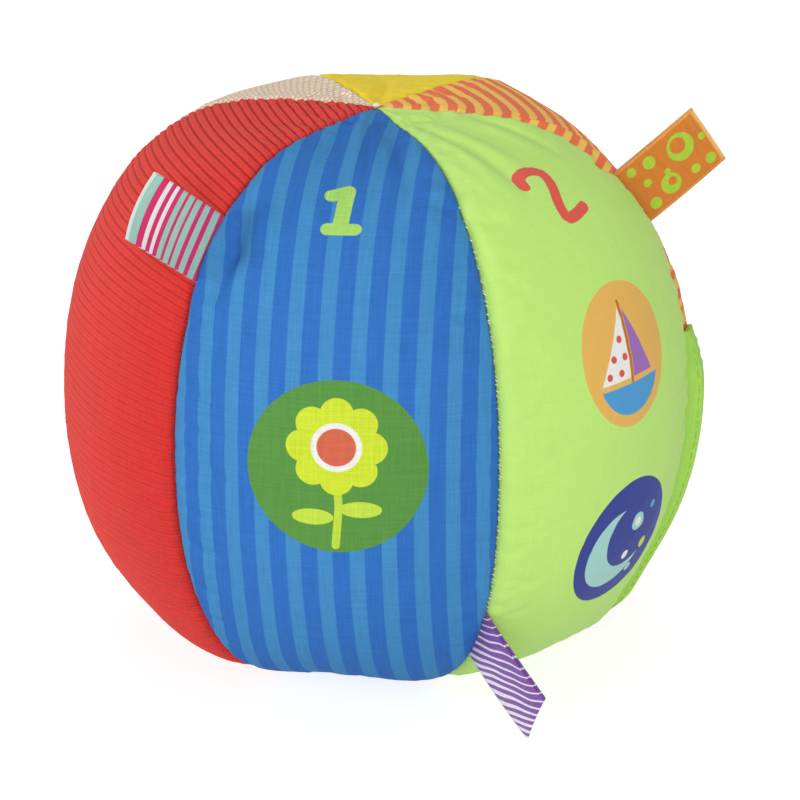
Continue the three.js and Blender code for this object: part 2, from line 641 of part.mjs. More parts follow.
// Cross-recessed screw pointing up from z 0 at the top of its head.
function screwGeometry(length) {
  const profile = [
    [0, 0],
    [SCREW_HEAD_RADIUS * 0.8, 0],
    [SCREW_HEAD_RADIUS, SCREW_HEAD_HEIGHT * 0.5],
    [SCREW_HEAD_RADIUS, SCREW_HEAD_HEIGHT],
    [SCREW_RADIUS, SCREW_HEAD_HEIGHT],
    [SCREW_RADIUS, length - SCREW_RADIUS],
    [0, length],
  ];
  const slot = SCREW_SLOT / 2;
  const arm = SCREW_HEAD_RADIUS * 0.6;
  return cut(
    turned(profile, 8),
    box(-arm, arm, -slot, slot, -1, SCREW_HEAD_HEIGHT * 0.6),
    box(-slot, slot, -arm, arm, -1, SCREW_HEAD_HEIGHT * 0.6),
  );
}

posts.forEach(([x, y], k) => {
  const screw = addMesh(sound, `case_screw_${k + 1}`, screwGeometry(screwTip - CLEARANCE), '#b9bcc0', 0.3, 1);
  screw.position.set(x, y, CLEARANCE);
});

// Battery door in its rebate, with a captive screw through its tongue.
const doorBottom = doorSeat + CLEARANCE;
const doorPlate = box(rebateLeft + CLEARANCE, rebateRight - CLEARANCE, rebateLow + CLEARANCE,
  rebateHigh - CLEARANCE, doorBottom, MODULE_DEPTH);
const doorHole = rod(trayMiddle, doorScrewY, pilot, doorBottom - 1, MODULE_DEPTH + 1, 10);
addMesh(sound, 'battery_door', cut(doorPlate, doorHole), '#f1f1ee', 0.45);
const doorScrew = addMesh(sound, 'battery_door_screw', screwGeometry(DOOR_SCREW_LENGTH), '#b9bcc0', 0.3, 1);
doorScrew.rotation.x = Math.PI;
doorScrew.position.set(trayMiddle, doorScrewY, MODULE_DEPTH + headTop);

// Two cells in series: contact plates at both ends, conical springs on the negative ends.
const plateInner = trayEnd - CLEARANCE - CONTACT_THICKNESS;
const cellZ = trayFloor + CLEARANCE + CELL_DIAMETER / 2;
const plateLow = trayFloor + CLEARANCE;
const plateHalf = CELL_PITCH / 2 - 3 * CLEARANCE;
const plate = (x0, x1, side) => {
  const [near, far] = [side * plateInner, side * (plateInner + CONTACT_THICKNESS)];
  return box(x0, x1, Math.min(near, far), Math.max(near, far), plateLow, plateLow + CONTACT_HEIGHT);
};
addMesh(sound, 'contact_bridge', plate(cellX[0] - plateHalf, cellX[1] + plateHalf, -1), '#c9ccd0', 0.35, 1);
addMesh(sound, 'contact_positive', plate(cellX[0] - plateHalf, cellX[0] + plateHalf, 1), '#c9ccd0', 0.35, 1);
addMesh(sound, 'contact_negative', plate(cellX[1] - plateHalf, cellX[1] + plateHalf, 1), '#c9ccd0', 0.35, 1);

const cellRadius = CELL_DIAMETER / 2;
const cellShoulder = CELL_LENGTH - NUB_LENGTH;
const cellProfile = [
  [0, 0],
  [cellRadius - CELL_CHAMFER, 0],
  [cellRadius, CELL_CHAMFER],
  [cellRadius, cellShoulder - CELL_CHAMFER],
  [cellRadius - CELL_CHAMFER, cellShoulder],
  [NUB_RADIUS, cellShoulder],
  [NUB_RADIUS, CELL_LENGTH],
  [0, CELL_LENGTH],
];

// Round wire section with a few sides, for tubes along a path.
function wireSection(radius, sides) {
  const corner = (k) => new THREE.Vector2(radius * Math.cos((TAU * k) / sides), radius * Math.sin((TAU * k) / sides));
  return new THREE.Shape(Array.from({ length: sides }, (_, k) => corner(k)));
}

function springGeometry() {
  class Cone extends THREE.Curve {
    getPoint(t, target = new THREE.Vector3()) {
      const turn = TAU * SPRING_TURNS * t;
      const radius = THREE.MathUtils.lerp(SPRING_BASE_RADIUS, SPRING_TIP_RADIUS, t);
      const climb = SPRING_WIRE / 2 + (SPRING_LENGTH - SPRING_WIRE) * t;
      return target.set(radius * Math.cos(turn), radius * Math.sin(turn), climb);
    }
  }
  const options = { steps: 8 * SPRING_TURNS, extrudePath: new Cone(), bevelEnabled: false };
  return new THREE.ExtrudeGeometry(wireSection(SPRING_WIRE / 2, 5), options);
}

cellX.forEach((x, k) => {
  const side = k === 0 ? 1 : -1;
  const cell = addMesh(sound, `battery_cell_${k + 1}`, turned(cellProfile, 16), '#3b3f46', 0.35, 0.3);
  cell.rotation.x = -side * Math.PI / 2;
  cell.position.set(x, side * (plateInner - CLEARANCE - CELL_LENGTH), cellZ);
  const spring = addMesh(sound, `contact_spring_${k + 1}`, springGeometry(), '#c9ccd0', 0.3, 1);
  spring.rotation.x = -side * Math.PI / 2;
  spring.position.set(x, side * (CLEARANCE - plateInner), cellZ);
});

// Circuit board under the face on two pins, with its sealed chip on the underside.
const board = box(boardLeft, boardRight, boardLow, boardHigh, boardBottom, boardTop);
const pinHoles = boardPins.map(([x, y]) => rod(x, y, PIN_RADIUS + CLEARANCE, boardBottom - 1, boardTop + 1, 8));
addMesh(sound, 'circuit_board', cut(board, ...pinHoles), '#2f6b3f', 0.5);
const underBoard = boardBottom - CLEARANCE;
const chipProfile = [
  [0, underBoard],
  [CHIP_RADIUS, underBoard],
  [CHIP_RADIUS * 0.9, underBoard - CHIP_HEIGHT * 0.45],
  [CHIP_RADIUS * 0.5, underBoard - CHIP_HEIGHT * 0.9],
  [0, underBoard - CHIP_HEIGHT],
];
const chip = turned(chipProfile, 14);
chip.translate(boardLeft + CHIP_RADIUS + 1, boardLow + BOARD_LENGTH / 2, 0);
addMesh(sound, 'sound_chip', chip, '#17181b', 0.4);

// Motion switch under the board: a can on its end cap, with a loose ball inside.
const canX = boardRight - CAN_RADIUS - 2 * CLEARANCE;
const canZ = underBoard - CAN_RADIUS;
const canLow = boardLow + BOARD_LENGTH * 0.16;
const canBore = CAN_RADIUS - CAN_WALL;
const canProfile = [
  [0, CAN_LENGTH],
  [CAN_RADIUS, CAN_LENGTH],
  [CAN_RADIUS, 0],
  [canBore, 0],
  [canBore, CAN_LENGTH - CAN_WALL],
  [0, CAN_LENGTH - CAN_WALL],
];
const onCan = (mesh, lift) => {
  mesh.rotation.x = -Math.PI / 2;
  mesh.position.set(canX, canLow + lift, canZ);
};
onCan(addMesh(sound, 'motion_switch_can', turned(canProfile, 14), '#c9ccd0', 0.3, 1), 0);
onCan(addMesh(sound, 'motion_switch_cap', rod(0, 0, canBore - CLEARANCE, 0, CAN_CAP, 14), '#5c4a3a', 0.7), 0);
const looseBall = facingOut(new THREE.SphereGeometry(CAN_BALL_RADIUS, 12, 8));
onCan(addMesh(sound, 'motion_switch_ball', looseBall, '#d8dadd', 0.2, 1), CAN_CAP + CLEARANCE + CAN_BALL_RADIUS);

// Speaker behind the grille: basket, magnet and a cone that can move in and out.
const seat = CASE_WALL + CLEARANCE;
const basketBack = seat + BASKET_DEPTH;
const flangeBore = SPEAKER_RADIUS - FLANGE_WIDTH;
const basketProfile = [
  [SPEAKER_RADIUS, seat],
  [SPEAKER_RADIUS, seat + FLANGE_HEIGHT],
  [flangeBore + BASKET_WALL * 1.2, seat + FLANGE_HEIGHT],
  [flangeBore + BASKET_WALL * 1.2, seat + FLANGE_HEIGHT * 1.75],
  [BASKET_BACK_RADIUS, basketBack],
  [BASKET_HOLE_RADIUS, basketBack],
  [BASKET_HOLE_RADIUS, basketBack - BASKET_WALL],
  [BASKET_BACK_RADIUS - BASKET_WALL * 0.8, basketBack - BASKET_WALL],
  [flangeBore, seat + FLANGE_HEIGHT * 1.4],
  [flangeBore, seat],
  [SPEAKER_RADIUS, seat],
];
const coneEdge = flangeBore - CLEARANCE * 1.6;
const coneNeck = BASKET_HOLE_RADIUS * 0.7;
const coneLow = seat + CONE_TRAVEL + CLEARANCE / 3;
const coneRise = BASKET_DEPTH * 0.34;
const coneProfile = [
  [0, coneLow + coneRise * 0.9],
  [coneNeck * 0.7, coneLow + coneRise * 0.7],
  [coneNeck, coneLow + coneRise],
  [coneEdge - 2.1, coneLow],
  [coneEdge - 1, coneLow + CONE_THICKNESS / 2],
  [coneEdge, coneLow],
  [coneEdge, coneLow + CONE_THICKNESS],
  [coneEdge - 1, coneLow + CONE_THICKNESS * 1.5],
  [coneEdge - 2.1, coneLow + CONE_THICKNESS],
  [coneNeck, coneLow + coneRise + CONE_THICKNESS],
  [0, coneLow + coneRise + CONE_THICKNESS],
];
const atSpeaker = (geometry) => geometry.translate(0, speakerY, 0);
addMesh(sound, 'speaker_basket', atSpeaker(turned(basketProfile, 20)), '#6f7377', 0.4, 1);
addMesh(sound, 'speaker_cone', atSpeaker(turned(coneProfile, 18)), '#1d1d1f', 0.9);
const magnetLow = basketBack + CLEARANCE;
const magnet = rod(0, speakerY, MAGNET_RADIUS, magnetLow, magnetLow + MAGNET_HEIGHT, 24);
addMesh(sound, 'speaker_magnet', magnet, '#4a4c50', 0.5, 1);

// Slide switch on the board and its knob, which sticks out of the face.
const bodyLow = boardTop + CLEARANCE;
const bodyHigh = faceInside - CLEARANCE;
const knobFoot = bodyHigh - KNOB_FOOT;
const channel = (KNOB_LENGTH + SWITCH_TRAVEL) / 2 + CLEARANCE;
const switchBody = box(switchX - SWITCH_LENGTH / 2, switchX + SWITCH_LENGTH / 2,
  switchY - SWITCH_WIDTH / 2, switchY + SWITCH_WIDTH / 2, bodyLow, bodyHigh);
const knobWell = box(switchX - channel, switchX + channel, switchY - slotSide, switchY + slotSide,
  knobFoot - CLEARANCE, bodyHigh + 1);
addMesh(sound, 'switch_body', cut(switchBody, knobWell), '#8f9398', 0.4, 0.6);
const knobX = switchX - SWITCH_TRAVEL / 2;
const knob = box(knobX - KNOB_LENGTH / 2, knobX + KNOB_LENGTH / 2, switchY - KNOB_WIDTH / 2, switchY + KNOB_WIDTH / 2,
  knobFoot, MODULE_DEPTH + KNOB_PROUD);
addMesh(sound, 'switch_knob', knob, '#1b1c1f', 0.5);

// Insulated leads from the battery contacts and the speaker to the board.
function leadGeometry(route) {
  const path = new THREE.CatmullRomCurve3(route.map(([x, y, z]) => new THREE.Vector3(x, y, z)));
  const options = { steps: 12, extrudePath: path, bevelEnabled: false };
  return new THREE.ExtrudeGeometry(wireSection(LEAD_RADIUS, 6), options);
}
const padZ = underBoard;
const wallOut = trayEnd + TRAY_WALL;
const padY = boardHigh - 2;
const footY = boardLow + 1.3;
const padX = [boardLeft + 2.3, boardLeft + 5.4];
const basketRim = BASKET_BACK_RADIUS - LEAD_RADIUS;
const rimZ = basketBack + CLEARANCE + LEAD_RADIUS;
const leads = [
  ['lead_battery_positive', '#c8312b', [
    [cellX[0], trayEnd, leadHoleZ], [cellX[0], wallOut + 1, leadHoleZ], [cellX[0] + 3, wallOut + 2.8, leadHoleZ - 1],
    [trayMiddle + 7, wallOut + 3, leadHoleZ - 1.6], [padX[1] - 1.5, wallOut + 1.4, leadHoleZ - 2],
    [padX[1], padY + 4, leadHoleZ - 1.8], [padX[1], padY + 0.5, padZ - 2.1], [padX[1], padY, padZ],
  ]],
  ['lead_battery_negative', '#1b1c1f', [
    [cellX[1], trayEnd, leadHoleZ], [cellX[1], wallOut + 1, leadHoleZ], [trayRight - 1.6, wallOut + 2.2, leadHoleZ],
    [trayRight + 3.4, wallOut, leadHoleZ], [padX[0], padY + 4, leadHoleZ - 0.5], [padX[0], padY + 0.8, padZ - 1.3],
    [padX[0], padY, padZ],
  ]],
  ['lead_speaker_1', '#c8312b', [
    [basketRim * 0.26, speakerY - basketRim * 0.96, rimZ], [padX[0] - 3, footY - 0.6, rimZ + 1],
    [padX[0] - 0.5, footY - 0.8, rimZ + 3.5], [padX[0], footY - 0.2, padZ - 1.8], [padX[0], footY, padZ],
  ]],
  ['lead_speaker_2', '#1b1c1f', [
    [basketRim * 0.82, speakerY - basketRim * 0.57, rimZ], [padX[1] + 0.2, footY + 2.6, rimZ + 1],
    [padX[1] + 0.4, footY - 0.2, rimZ + 3.5], [padX[1], footY - 0.4, padZ - 1.8], [padX[1], footY, padZ],
  ]],
];
for (const [name, colour, route] of leads) {
  addMesh(sound, name, leadGeometry(route), colour, 0.5);
}

export default ball;
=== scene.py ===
import math

import bmesh
import bpy
import numpy as np
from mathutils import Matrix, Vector


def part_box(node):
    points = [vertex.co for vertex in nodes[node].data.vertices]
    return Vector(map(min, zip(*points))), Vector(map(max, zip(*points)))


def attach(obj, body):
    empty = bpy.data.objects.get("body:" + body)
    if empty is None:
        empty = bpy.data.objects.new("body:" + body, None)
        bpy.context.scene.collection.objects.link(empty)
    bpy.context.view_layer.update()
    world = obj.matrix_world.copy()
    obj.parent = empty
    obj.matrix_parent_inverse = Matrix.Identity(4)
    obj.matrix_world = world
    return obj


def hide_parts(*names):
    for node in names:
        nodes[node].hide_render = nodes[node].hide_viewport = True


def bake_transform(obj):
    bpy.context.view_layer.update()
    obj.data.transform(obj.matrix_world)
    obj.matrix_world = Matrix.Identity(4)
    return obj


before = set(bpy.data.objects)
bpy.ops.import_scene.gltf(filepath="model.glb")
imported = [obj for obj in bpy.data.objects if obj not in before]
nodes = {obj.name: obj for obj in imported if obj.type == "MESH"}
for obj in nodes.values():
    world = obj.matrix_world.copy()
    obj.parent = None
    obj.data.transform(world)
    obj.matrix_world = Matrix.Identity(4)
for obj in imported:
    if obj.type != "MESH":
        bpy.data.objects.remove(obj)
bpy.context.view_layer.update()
scene = bpy.context.scene


# Camera: the viewpoint of the photograph, in front of the ball, a little to its right and above it,
# with a long lens so that the ball keeps its round outline.
BALL_CENTRE = Vector((0.0, 0.0, 0.0665))
VIEW_AZIMUTH = math.radians(8.3)
VIEW_ELEVATION = math.radians(21.08)
VIEW_DISTANCE = 0.8
LENS_MM = 150.5
AIM_RIGHT = 0.0055
AIM_DOWN = 0.0069

view_back = Vector((
    math.sin(VIEW_AZIMUTH) * math.cos(VIEW_ELEVATION),
    -math.cos(VIEW_AZIMUTH) * math.cos(VIEW_ELEVATION),
    math.sin(VIEW_ELEVATION),
))
view_right = Vector((math.cos(VIEW_AZIMUTH), math.sin(VIEW_AZIMUTH), 0.0))
view_up = view_back.cross(view_right)
camera = bpy.data.objects.new("camera", bpy.data.cameras.new("camera"))
scene.collection.objects.link(camera)
camera.data.lens = LENS_MM
camera.data.sensor_width = 36.0
camera.data.clip_start = 0.01
camera.location = BALL_CENTRE + view_back * VIEW_DISTANCE
view_aim = BALL_CENTRE + view_right * AIM_RIGHT - view_up * AIM_DOWN
camera.rotation_euler = (view_aim - camera.location).to_track_quat("-Z", "Y").to_euler()
scene.camera = camera


# Sound module: a screwed plastic case with two cells, a board, a speaker and two switches, buried in the
# stuffing. These are rigid CAD solids and keep their shape; here they get their moulded, plated, printed
# and insulated finishes.
def srgb(red, green, blue):
    """A screen colour from 0 to 255 as the linear colour that a shader takes."""
    screen = np.array([red, green, blue]) / 255.0
    linear = np.where(screen <= 0.04045, screen / 12.92, ((screen + 0.055) / 1.055) ** 2.4)
    return (*(float(c) for c in linear), 1.0)


def is_link(value):
    """Whether a value comes from another node."""
    return isinstance(value, bpy.types.NodeSocket)


def fill_in(node, inputs):
    """Sets a node's inputs, by name or number, or links them."""
    for name, value in inputs.items():
        if is_link(value):
            node.id_data.links.new(value, node.inputs[name])
        else:
            node.inputs[name].default_value = value


def add_node(kind, inputs, tree=None, **settings):
    """New shader node with its settings and inputs, in a given tree or in the one its links come from."""
    tree = tree or next(value.id_data for value in inputs.values() if is_link(value))
    node = tree.nodes.new("ShaderNode" + kind)
    for name, value in settings.items():
        setattr(node, name, value)
    fill_in(node, inputs)
    return node


def reckon(operation, *values):
    """Math node on numbers or links; its result."""
    return add_node("Math", dict(enumerate(values)), operation=operation).outputs[0]


def rescale(value, low, high, to_low, to_high, kind="LINEAR"):
    """Map Range node: value from low..high spread to to_low..to_high, clamped."""
    inputs = {"Value": value, "From Min": low, "From Max": high, "To Min": to_low, "To Max": to_high}
    return add_node("MapRange", inputs, interpolation_type=kind).outputs["Result"]


def over(share, below, above):
    """Colour mix: share 0 shows below, share 1 shows above."""
    return add_node("Mix", {0: share, 6: below, 7: above}, data_type="RGBA").outputs[2]


def axes(place):
    """X, Y and Z of a place."""
    return add_node("SeparateXYZ", {0: place}).outputs[:]


def cloudy(where, scale, detail=3.0, stretch=(1.0, 1.0, 1.0)):
    """Noise of about scale bumps per unit, stretched along the axes; a value near 0.5."""
    spread = add_node("Mapping", {"Scale": stretch, "Vector": where}).outputs["Vector"]
    return add_node("TexNoise", {"Scale": scale, "Detail": detail, "Vector": spread}).outputs["Fac"]


def start_finish(name):
    """New material: itself, its shader, and the object's own coordinates in metres."""
    material = bpy.data.materials.new(name)
    material.use_nodes = True
    tree = material.node_tree
    return material, tree.nodes["Principled BSDF"], add_node("TexCoord", {}, tree).outputs["Object"]


def add_bump(shader, height, distance):
    """Bump node: height 0..1 stands distance metres proud."""
    bump = add_node("Bump", {"Strength": 1.0, "Distance": distance, "Height": height})
    fill_in(shader, {"Normal": bump.outputs["Normal"]})


def dress(material, *names):
    """Puts a finish on CAD nodes."""
    for name in names:
        nodes[name].material_slots[0].material = material


def hard_finish(name, dark, light, roughness, grain_per_m, grain_height, metallic, stretch, *names):
    """Rigid finish for CAD nodes: colour wanders between dark and light, and a fine grain roughens and lifts
    it."""
    material, shader, where = start_finish(name)
    tone = rescale(cloudy(where, grain_per_m / 8.0, 4.0, stretch), 0.3, 0.7, 0.0, 1.0)
    grain = cloudy(where, grain_per_m, 2.0, stretch)
    fill_in(shader, {
        "Base Color": over(tone, srgb(*dark), srgb(*light)),
        "Roughness": rescale(grain, 0.3, 0.7, roughness - 0.08, roughness + 0.08),
        "Metallic": metallic,
    })
    add_bump(shader, grain, grain_height)
    dress(material, *names)


EVEN, DRAWN_DOWN, DRAWN_ALONG = (1.0, 1.0, 1.0), (1.0, 1.0, 0.1), (1.0, 0.15, 1.0)
hard_finish("case_plastic", (226, 226, 220), (240, 240, 236), 0.48, 3500.0, 4e-5, 0.0, EVEN,
            "case_back", "case_front", "battery_door")
hard_finish("screw_steel", (168, 171, 176), (196, 199, 203), 0.3, 2600.0, 1e-5, 1.0, DRAWN_DOWN,
            "battery_door_screw", "case_screw_1", "case_screw_2", "case_screw_3", "case_screw_4")
hard_finish("contact_steel", (190, 193, 198), (214, 216, 219), 0.32, 2200.0, 1e-5, 1.0, DRAWN_ALONG,
            "contact_bridge", "contact_positive", "contact_negative", "contact_spring_1", "contact_spring_2",
            "motion_switch_can", "motion_switch_ball")
hard_finish("cap_phenolic", (84, 64, 48), (108, 84, 62), 0.65, 2800.0, 3e-5, 0.0, EVEN, "motion_switch_cap")
hard_finish("chip_resin", (16, 17, 19), (30, 31, 34), 0.35, 1500.0, 3e-5, 0.0, EVEN, "sound_chip")
hard_finish("speaker_steel", (98, 102, 106), (124, 128, 132), 0.4, 1800.0, 2e-5, 1.0, EVEN, "speaker_basket")
hard_finish("magnet_ferrite", (58, 60, 64), (84, 86, 90), 0.6, 2400.0, 5e-5, 0.4, EVEN, "speaker_magnet")
hard_finish("cone_paper", (22, 22, 23), (46, 45, 44), 0.9, 1300.0, 8e-5, 0.0, EVEN, "speaker_cone")
hard_finish("switch_metal", (132, 136, 142), (160, 164, 170), 0.4, 2000.0, 2e-5, 0.8, EVEN, "switch_body")
hard_finish("knob_plastic", (18, 18, 20), (38, 38, 42), 0.5, 3200.0, 5e-5, 0.0, EVEN, "switch_knob")
hard_finish("lead_red", (178, 34, 30), (206, 52, 44), 0.45, 1500.0, 2e-5, 0.0, EVEN,
            "lead_battery_positive", "lead_speaker_1")
hard_finish("lead_black", (18, 18, 20), (40, 40, 42), 0.45, 1500.0, 2e-5, 0.0, EVEN,
            "lead_battery_negative", "lead_speaker_2")
BAND_SHARE = 0.26


def cell_wrap(name, node, band_at_top):
    """Printed wrap of a cell: dark can with a warm band over a quarter of its length, at one end."""
    material, shader, where = start_finish(name)
    band_end, far_end = (corner.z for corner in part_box(node))
    if band_at_top:
        band_end, far_end = far_end, band_end
    from_band = rescale(axes(where)[2], band_end, far_end, 0.0, 1.0)
    scuff = rescale(cloudy(where, 700.0, 5.0, (1.0, 1.0, 0.2)), 0.35, 0.7, 0.0, 1.0)
    body = over(scuff, srgb(40, 43, 48), srgb(62, 66, 72))
    warm = over(scuff, srgb(186, 122, 66), srgb(206, 148, 88))
    fill_in(shader, {
        "Base Color": over(reckon("LESS_THAN", from_band, BAND_SHARE), body, warm),
        "Roughness": rescale(scuff, 0.0, 1.0, 0.28, 0.42),
        "Metallic": 0.5,
    })
    dress(material, node)


cell_wrap("cell_wrap_up", "battery_cell_1", True)
cell_wrap("cell_wrap_down", "battery_cell_2", False)

# Board: green lacquer over copper tracks, which are the edges of uneven bricks, with round bare pads.
board, shader, where = start_finish("board_lacquer")
upright = (math.radians(90.0), 0.0, math.radians(90.0))
turned = add_node("Mapping", {"Rotation": upright, "Vector": where}).outputs["Vector"]
brick = {"Scale": 170.0, "Mortar Size": 0.05, "Bias": -0.3, "Vector": turned}
tracks = add_node("TexBrick", brick).outputs["Fac"]
pads = add_node("TexVoronoi", {"Scale": 260.0, "Vector": where})
pad = reckon("LESS_THAN", pads.outputs["Distance"], 0.2)
lacquer = over(tracks, srgb(34, 96, 54), srgb(62, 130, 74))
fill_in(shader, {
    "Base Color": over(pad, lacquer, srgb(186, 182, 170)),
    "Metallic": pad,
    "Roughness": rescale(cloudy(where, 900.0), 0.3, 0.7, 0.32, 0.48),
})
add_bump(shader, tracks, 3e-5)
dress(board, "circuit_board")


# Module pouch: a plain woven cotton bag, sewn open at the closure, that keeps the fibre out of the case.
# Its cloth follows the CAD wall, with the slack ripples of a bag that is not stretched.
def show(name, mesh):
    """Object at the origin for a finished mesh."""
    piece = bpy.data.objects.new(name, mesh)
    scene.collection.objects.link(piece)
    return piece


def soft_copy(node, name, cuts):
    """Copy of a CAD solid with its corners joined and each edge halved as many times as asked."""
    source = bmesh.new()
    source.from_mesh(nodes[node].data)
    bmesh.ops.remove_doubles(source, verts=source.verts, dist=1e-6)
    for _ in range(cuts):
        bmesh.ops.subdivide_edges(source, edges=source.edges, cuts=1, use_grid_fill=True)
    mesh = bpy.data.meshes.new(name)
    source.to_mesh(mesh)
    source.free()
    return show(name, mesh)


def points_and_normals(mesh):
    """Vertex places and normals as arrays of three columns."""
    points = np.empty(len(mesh.vertices) * 3)
    normals = np.empty(len(mesh.vertices) * 3)
    mesh.vertices.foreach_get("co", points)
    mesh.vertex_normals.foreach_get("vector", normals)
    return points.reshape(-1, 3), normals.reshape(-1, 3)


def move_points(mesh, points):
    """Puts new places into a mesh."""
    mesh.vertices.foreach_set("co", points.astype(np.float32).ravel())
    mesh.update()


def unit(ways):
    """Directions of length one."""
    return ways / np.linalg.norm(ways, axis=-1, keepdims=True)


def waves(places, lengths, seed):
    """Sum of plane waves of the given lengths in seeded directions and phases, about -1 to 1."""
    draw = np.random.default_rng(seed)
    total = np.zeros(places.shape[:-1])
    for length in lengths:
        way = unit(draw.normal(size=places.shape[-1]))
        total += np.sin(2.0 * np.pi * (places @ way) / length + draw.uniform(0.0, 2.0 * np.pi))
    return total / math.sqrt(len(lengths))


def start_group(name, places, numbers, results):
    """New node group that takes places and numbers and gives numbers: its tree, its inputs and its end."""
    tree = bpy.data.node_groups.new(name, "ShaderNodeTree")
    for names, way, kind in ((places, "INPUT", "NodeSocketVector"), (numbers, "INPUT", "NodeSocketFloat"),
                             (results, "OUTPUT", "NodeSocketFloat")):
        for socket in names:
            tree.interface.new_socket(socket, in_out=way, socket_type=kind)
    return tree, tree.nodes.new("NodeGroupInput").outputs, tree.nodes.new("NodeGroupOutput")


def humps(value):
    """Row of round backs, one to each unit: the size of the sine of pi times the value."""
    return reckon("ABSOLUTE", reckon("SINE", reckon("MULTIPLY", value, math.pi)))


def plain_weave_group():
    """Plain weave: warp and weft threads pass over each other in turn. Height is each thread's round back,
    tone the thread's own shade, both 0 to 1; place is in millimetres."""
    tree, given, result = start_group("plain_weave", ("Place",), ("Threads",), ("Height", "Tone"))
    place = given["Place"]
    across, along = (reckon("MULTIPLY", way, given["Threads"]) for way in axes(place)[:2])
    cell = reckon("ADD", reckon("FLOOR", across), reckon("FLOOR", along))
    turn = reckon("PINGPONG", cell, 1.0)
    upper = reckon("MULTIPLY", humps(across), turn)
    lower = reckon("MULTIPLY", humps(along), reckon("SUBTRACT", 1.0, turn))
    slubs = reckon("ADD", cloudy(place, 2.2, 2.0, (1.0, 0.04, 1.0)),
                   cloudy(place, 2.2, 2.0, (0.04, 1.0, 1.0)))
    tone = rescale(slubs, 0.7, 1.3, 0.0, 1.0)
    fill_in(result, {"Height": reckon("ADD", upper, lower), "Tone": tone})
    return tree


plain_weave = plain_weave_group()


def use_group(group, **given):
    """Places a node group with its inputs; its outputs by name."""
    return add_node("Group", given, node_tree=group).outputs


def scaled(place, factor):
    """A place or colour times a number."""
    return add_node("VectorMath", {0: place, "Scale": factor}, operation="SCALE").outputs[0]


def two_tone_weave(name, dark, light, threads, roughness, height):
    """Cloth of dark and light threads, woven by the object's own coordinates in millimetres."""
    material, shader, where = start_finish(name)
    weave = use_group(plain_weave, Place=scaled(where, 1000.0), Threads=threads)
    fill_in(shader, {"Base Color": over(weave["Tone"], dark, light), "Roughness": roughness})
    add_bump(shader, weave["Height"], height)
    return material


def finish_piece(piece, material, body, node):
    """Dresses a soft piece and gives it its body, the CAD solid it stands for, if any."""
    piece.data.materials.append(material)
    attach(piece, body)
    if node:
        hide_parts(node)


POUCH_SLACK = 0.00012
pouch = soft_copy("module_pouch", "pouch_cloth", 3)
pouch_points, pouch_normals = points_and_normals(pouch.data)
pouch_ripple = waves(pouch_points, (0.009, 0.013, 0.021, 0.017), 11)
move_points(pouch.data, pouch_points + pouch_normals * (POUCH_SLACK * pouch_ripple)[:, None])
pouch_cotton = two_tone_weave("pouch_cotton", srgb(222, 216, 202), srgb(240, 236, 226), 2.0, 0.9, 1e-4)
finish_piece(pouch, pouch_cotton, "ball", "module_pouch")


# Ball cover: six gores of different cloth, cut like orange slices and sewn edge to edge with the seams
# turned inside, then stuffed tight. The cover narrows to both poles, and sits flat on the floor.
BALL_RADIUS = 0.0744
BALL_HALF_HEIGHT = 0.0683
SHOULDER_EXPONENT = 0.683
CAP_EXPONENT = 0.914
CENTRE_HEIGHT = BALL_CENTRE.z
SEAMS = np.radians([-120.0, -60.0, 0.0, 60.0, 120.0, 168.0, 240.0])
WANDER_SEAM = 2
WANDER = math.radians(8.5)
WANDER_AT = math.radians(54.0)
WANDER_SPREAD = math.radians(16.0)
PANEL_CROWN = 0.001
SEAM_VALLEY = 0.0012
SEAM_HALF_WIDTH = 0.004
POLE_DIMPLE = 0.0014
POLE_DIMPLE_SPREAD = 0.35
BULGE_HEIGHT = 0.005
BULGE_AT = math.radians(147.0)
BULGE_SPREAD = math.radians(13.0)
BULGE_SIDE = math.radians(17.0)
# Each hollow: its depth in metres, its place down and around, and its spreads down and around, in degrees.
HOLLOWS = (
    (0.0032, 52.0, 20.0, 26.0, 24.0),
    (0.0034, 153.0, -92.0, 14.0, 20.0),
    (0.0014, 68.0, -172.0, 26.0, 22.0),
    (-0.0013, 143.0, -127.0, 14.0, 18.0),
    (-0.0013, 27.0, 60.0, 10.0, 16.0),
)
TIP_START = 0.0006
SEAM_OPENING = 0.0002
SEAM_ROLL = 0.0009
SEAM_ROLL_REACH = 0.0004
CLOTH_THICKNESS = 0.0009
TOP_SEAM_RISE = 0.8
TOP_SEAM_AT = math.radians(22.0)
TOP_SEAM_SPREAD = math.radians(13.0)
TOP_SAG = 0.0016
TOP_SAG_AT = 0.026
TOP_SAG_SPREAD = 0.016
RIB_LOW = 0.3
RIB_FADE = 0.075
RIB_SPLIT = 0.3
RIB_BOW_END = 0.14


def bell(value, centre, spread):
    """Bell of height one: the exponential of minus the square of the way from a centre over a spread."""
    return np.exp(-((value - centre) / spread) ** 2)


def ring_radius(angle):
    """Radius of the level ring at an angle down from the top pole: a power of the sine, so that the sides
    stand fuller than a ball's."""
    return BALL_RADIUS * np.abs(np.sin(angle)) ** SHOULDER_EXPONENT


def seam_at(index, angle):
    """Azimuth of a seam at an angle down from the top pole; one seam wanders towards its next gore."""
    wander = WANDER * bell(angle, WANDER_AT, WANDER_SPREAD)
    return SEAMS[index] + np.where(np.equal(index, WANDER_SEAM), wander, 0.0)


def turn_from(azimuth, centre):
    """Turn from a centre to an azimuth, within half a turn either way."""
    return np.arctan2(np.sin(azimuth - centre), np.cos(azimuth - centre))


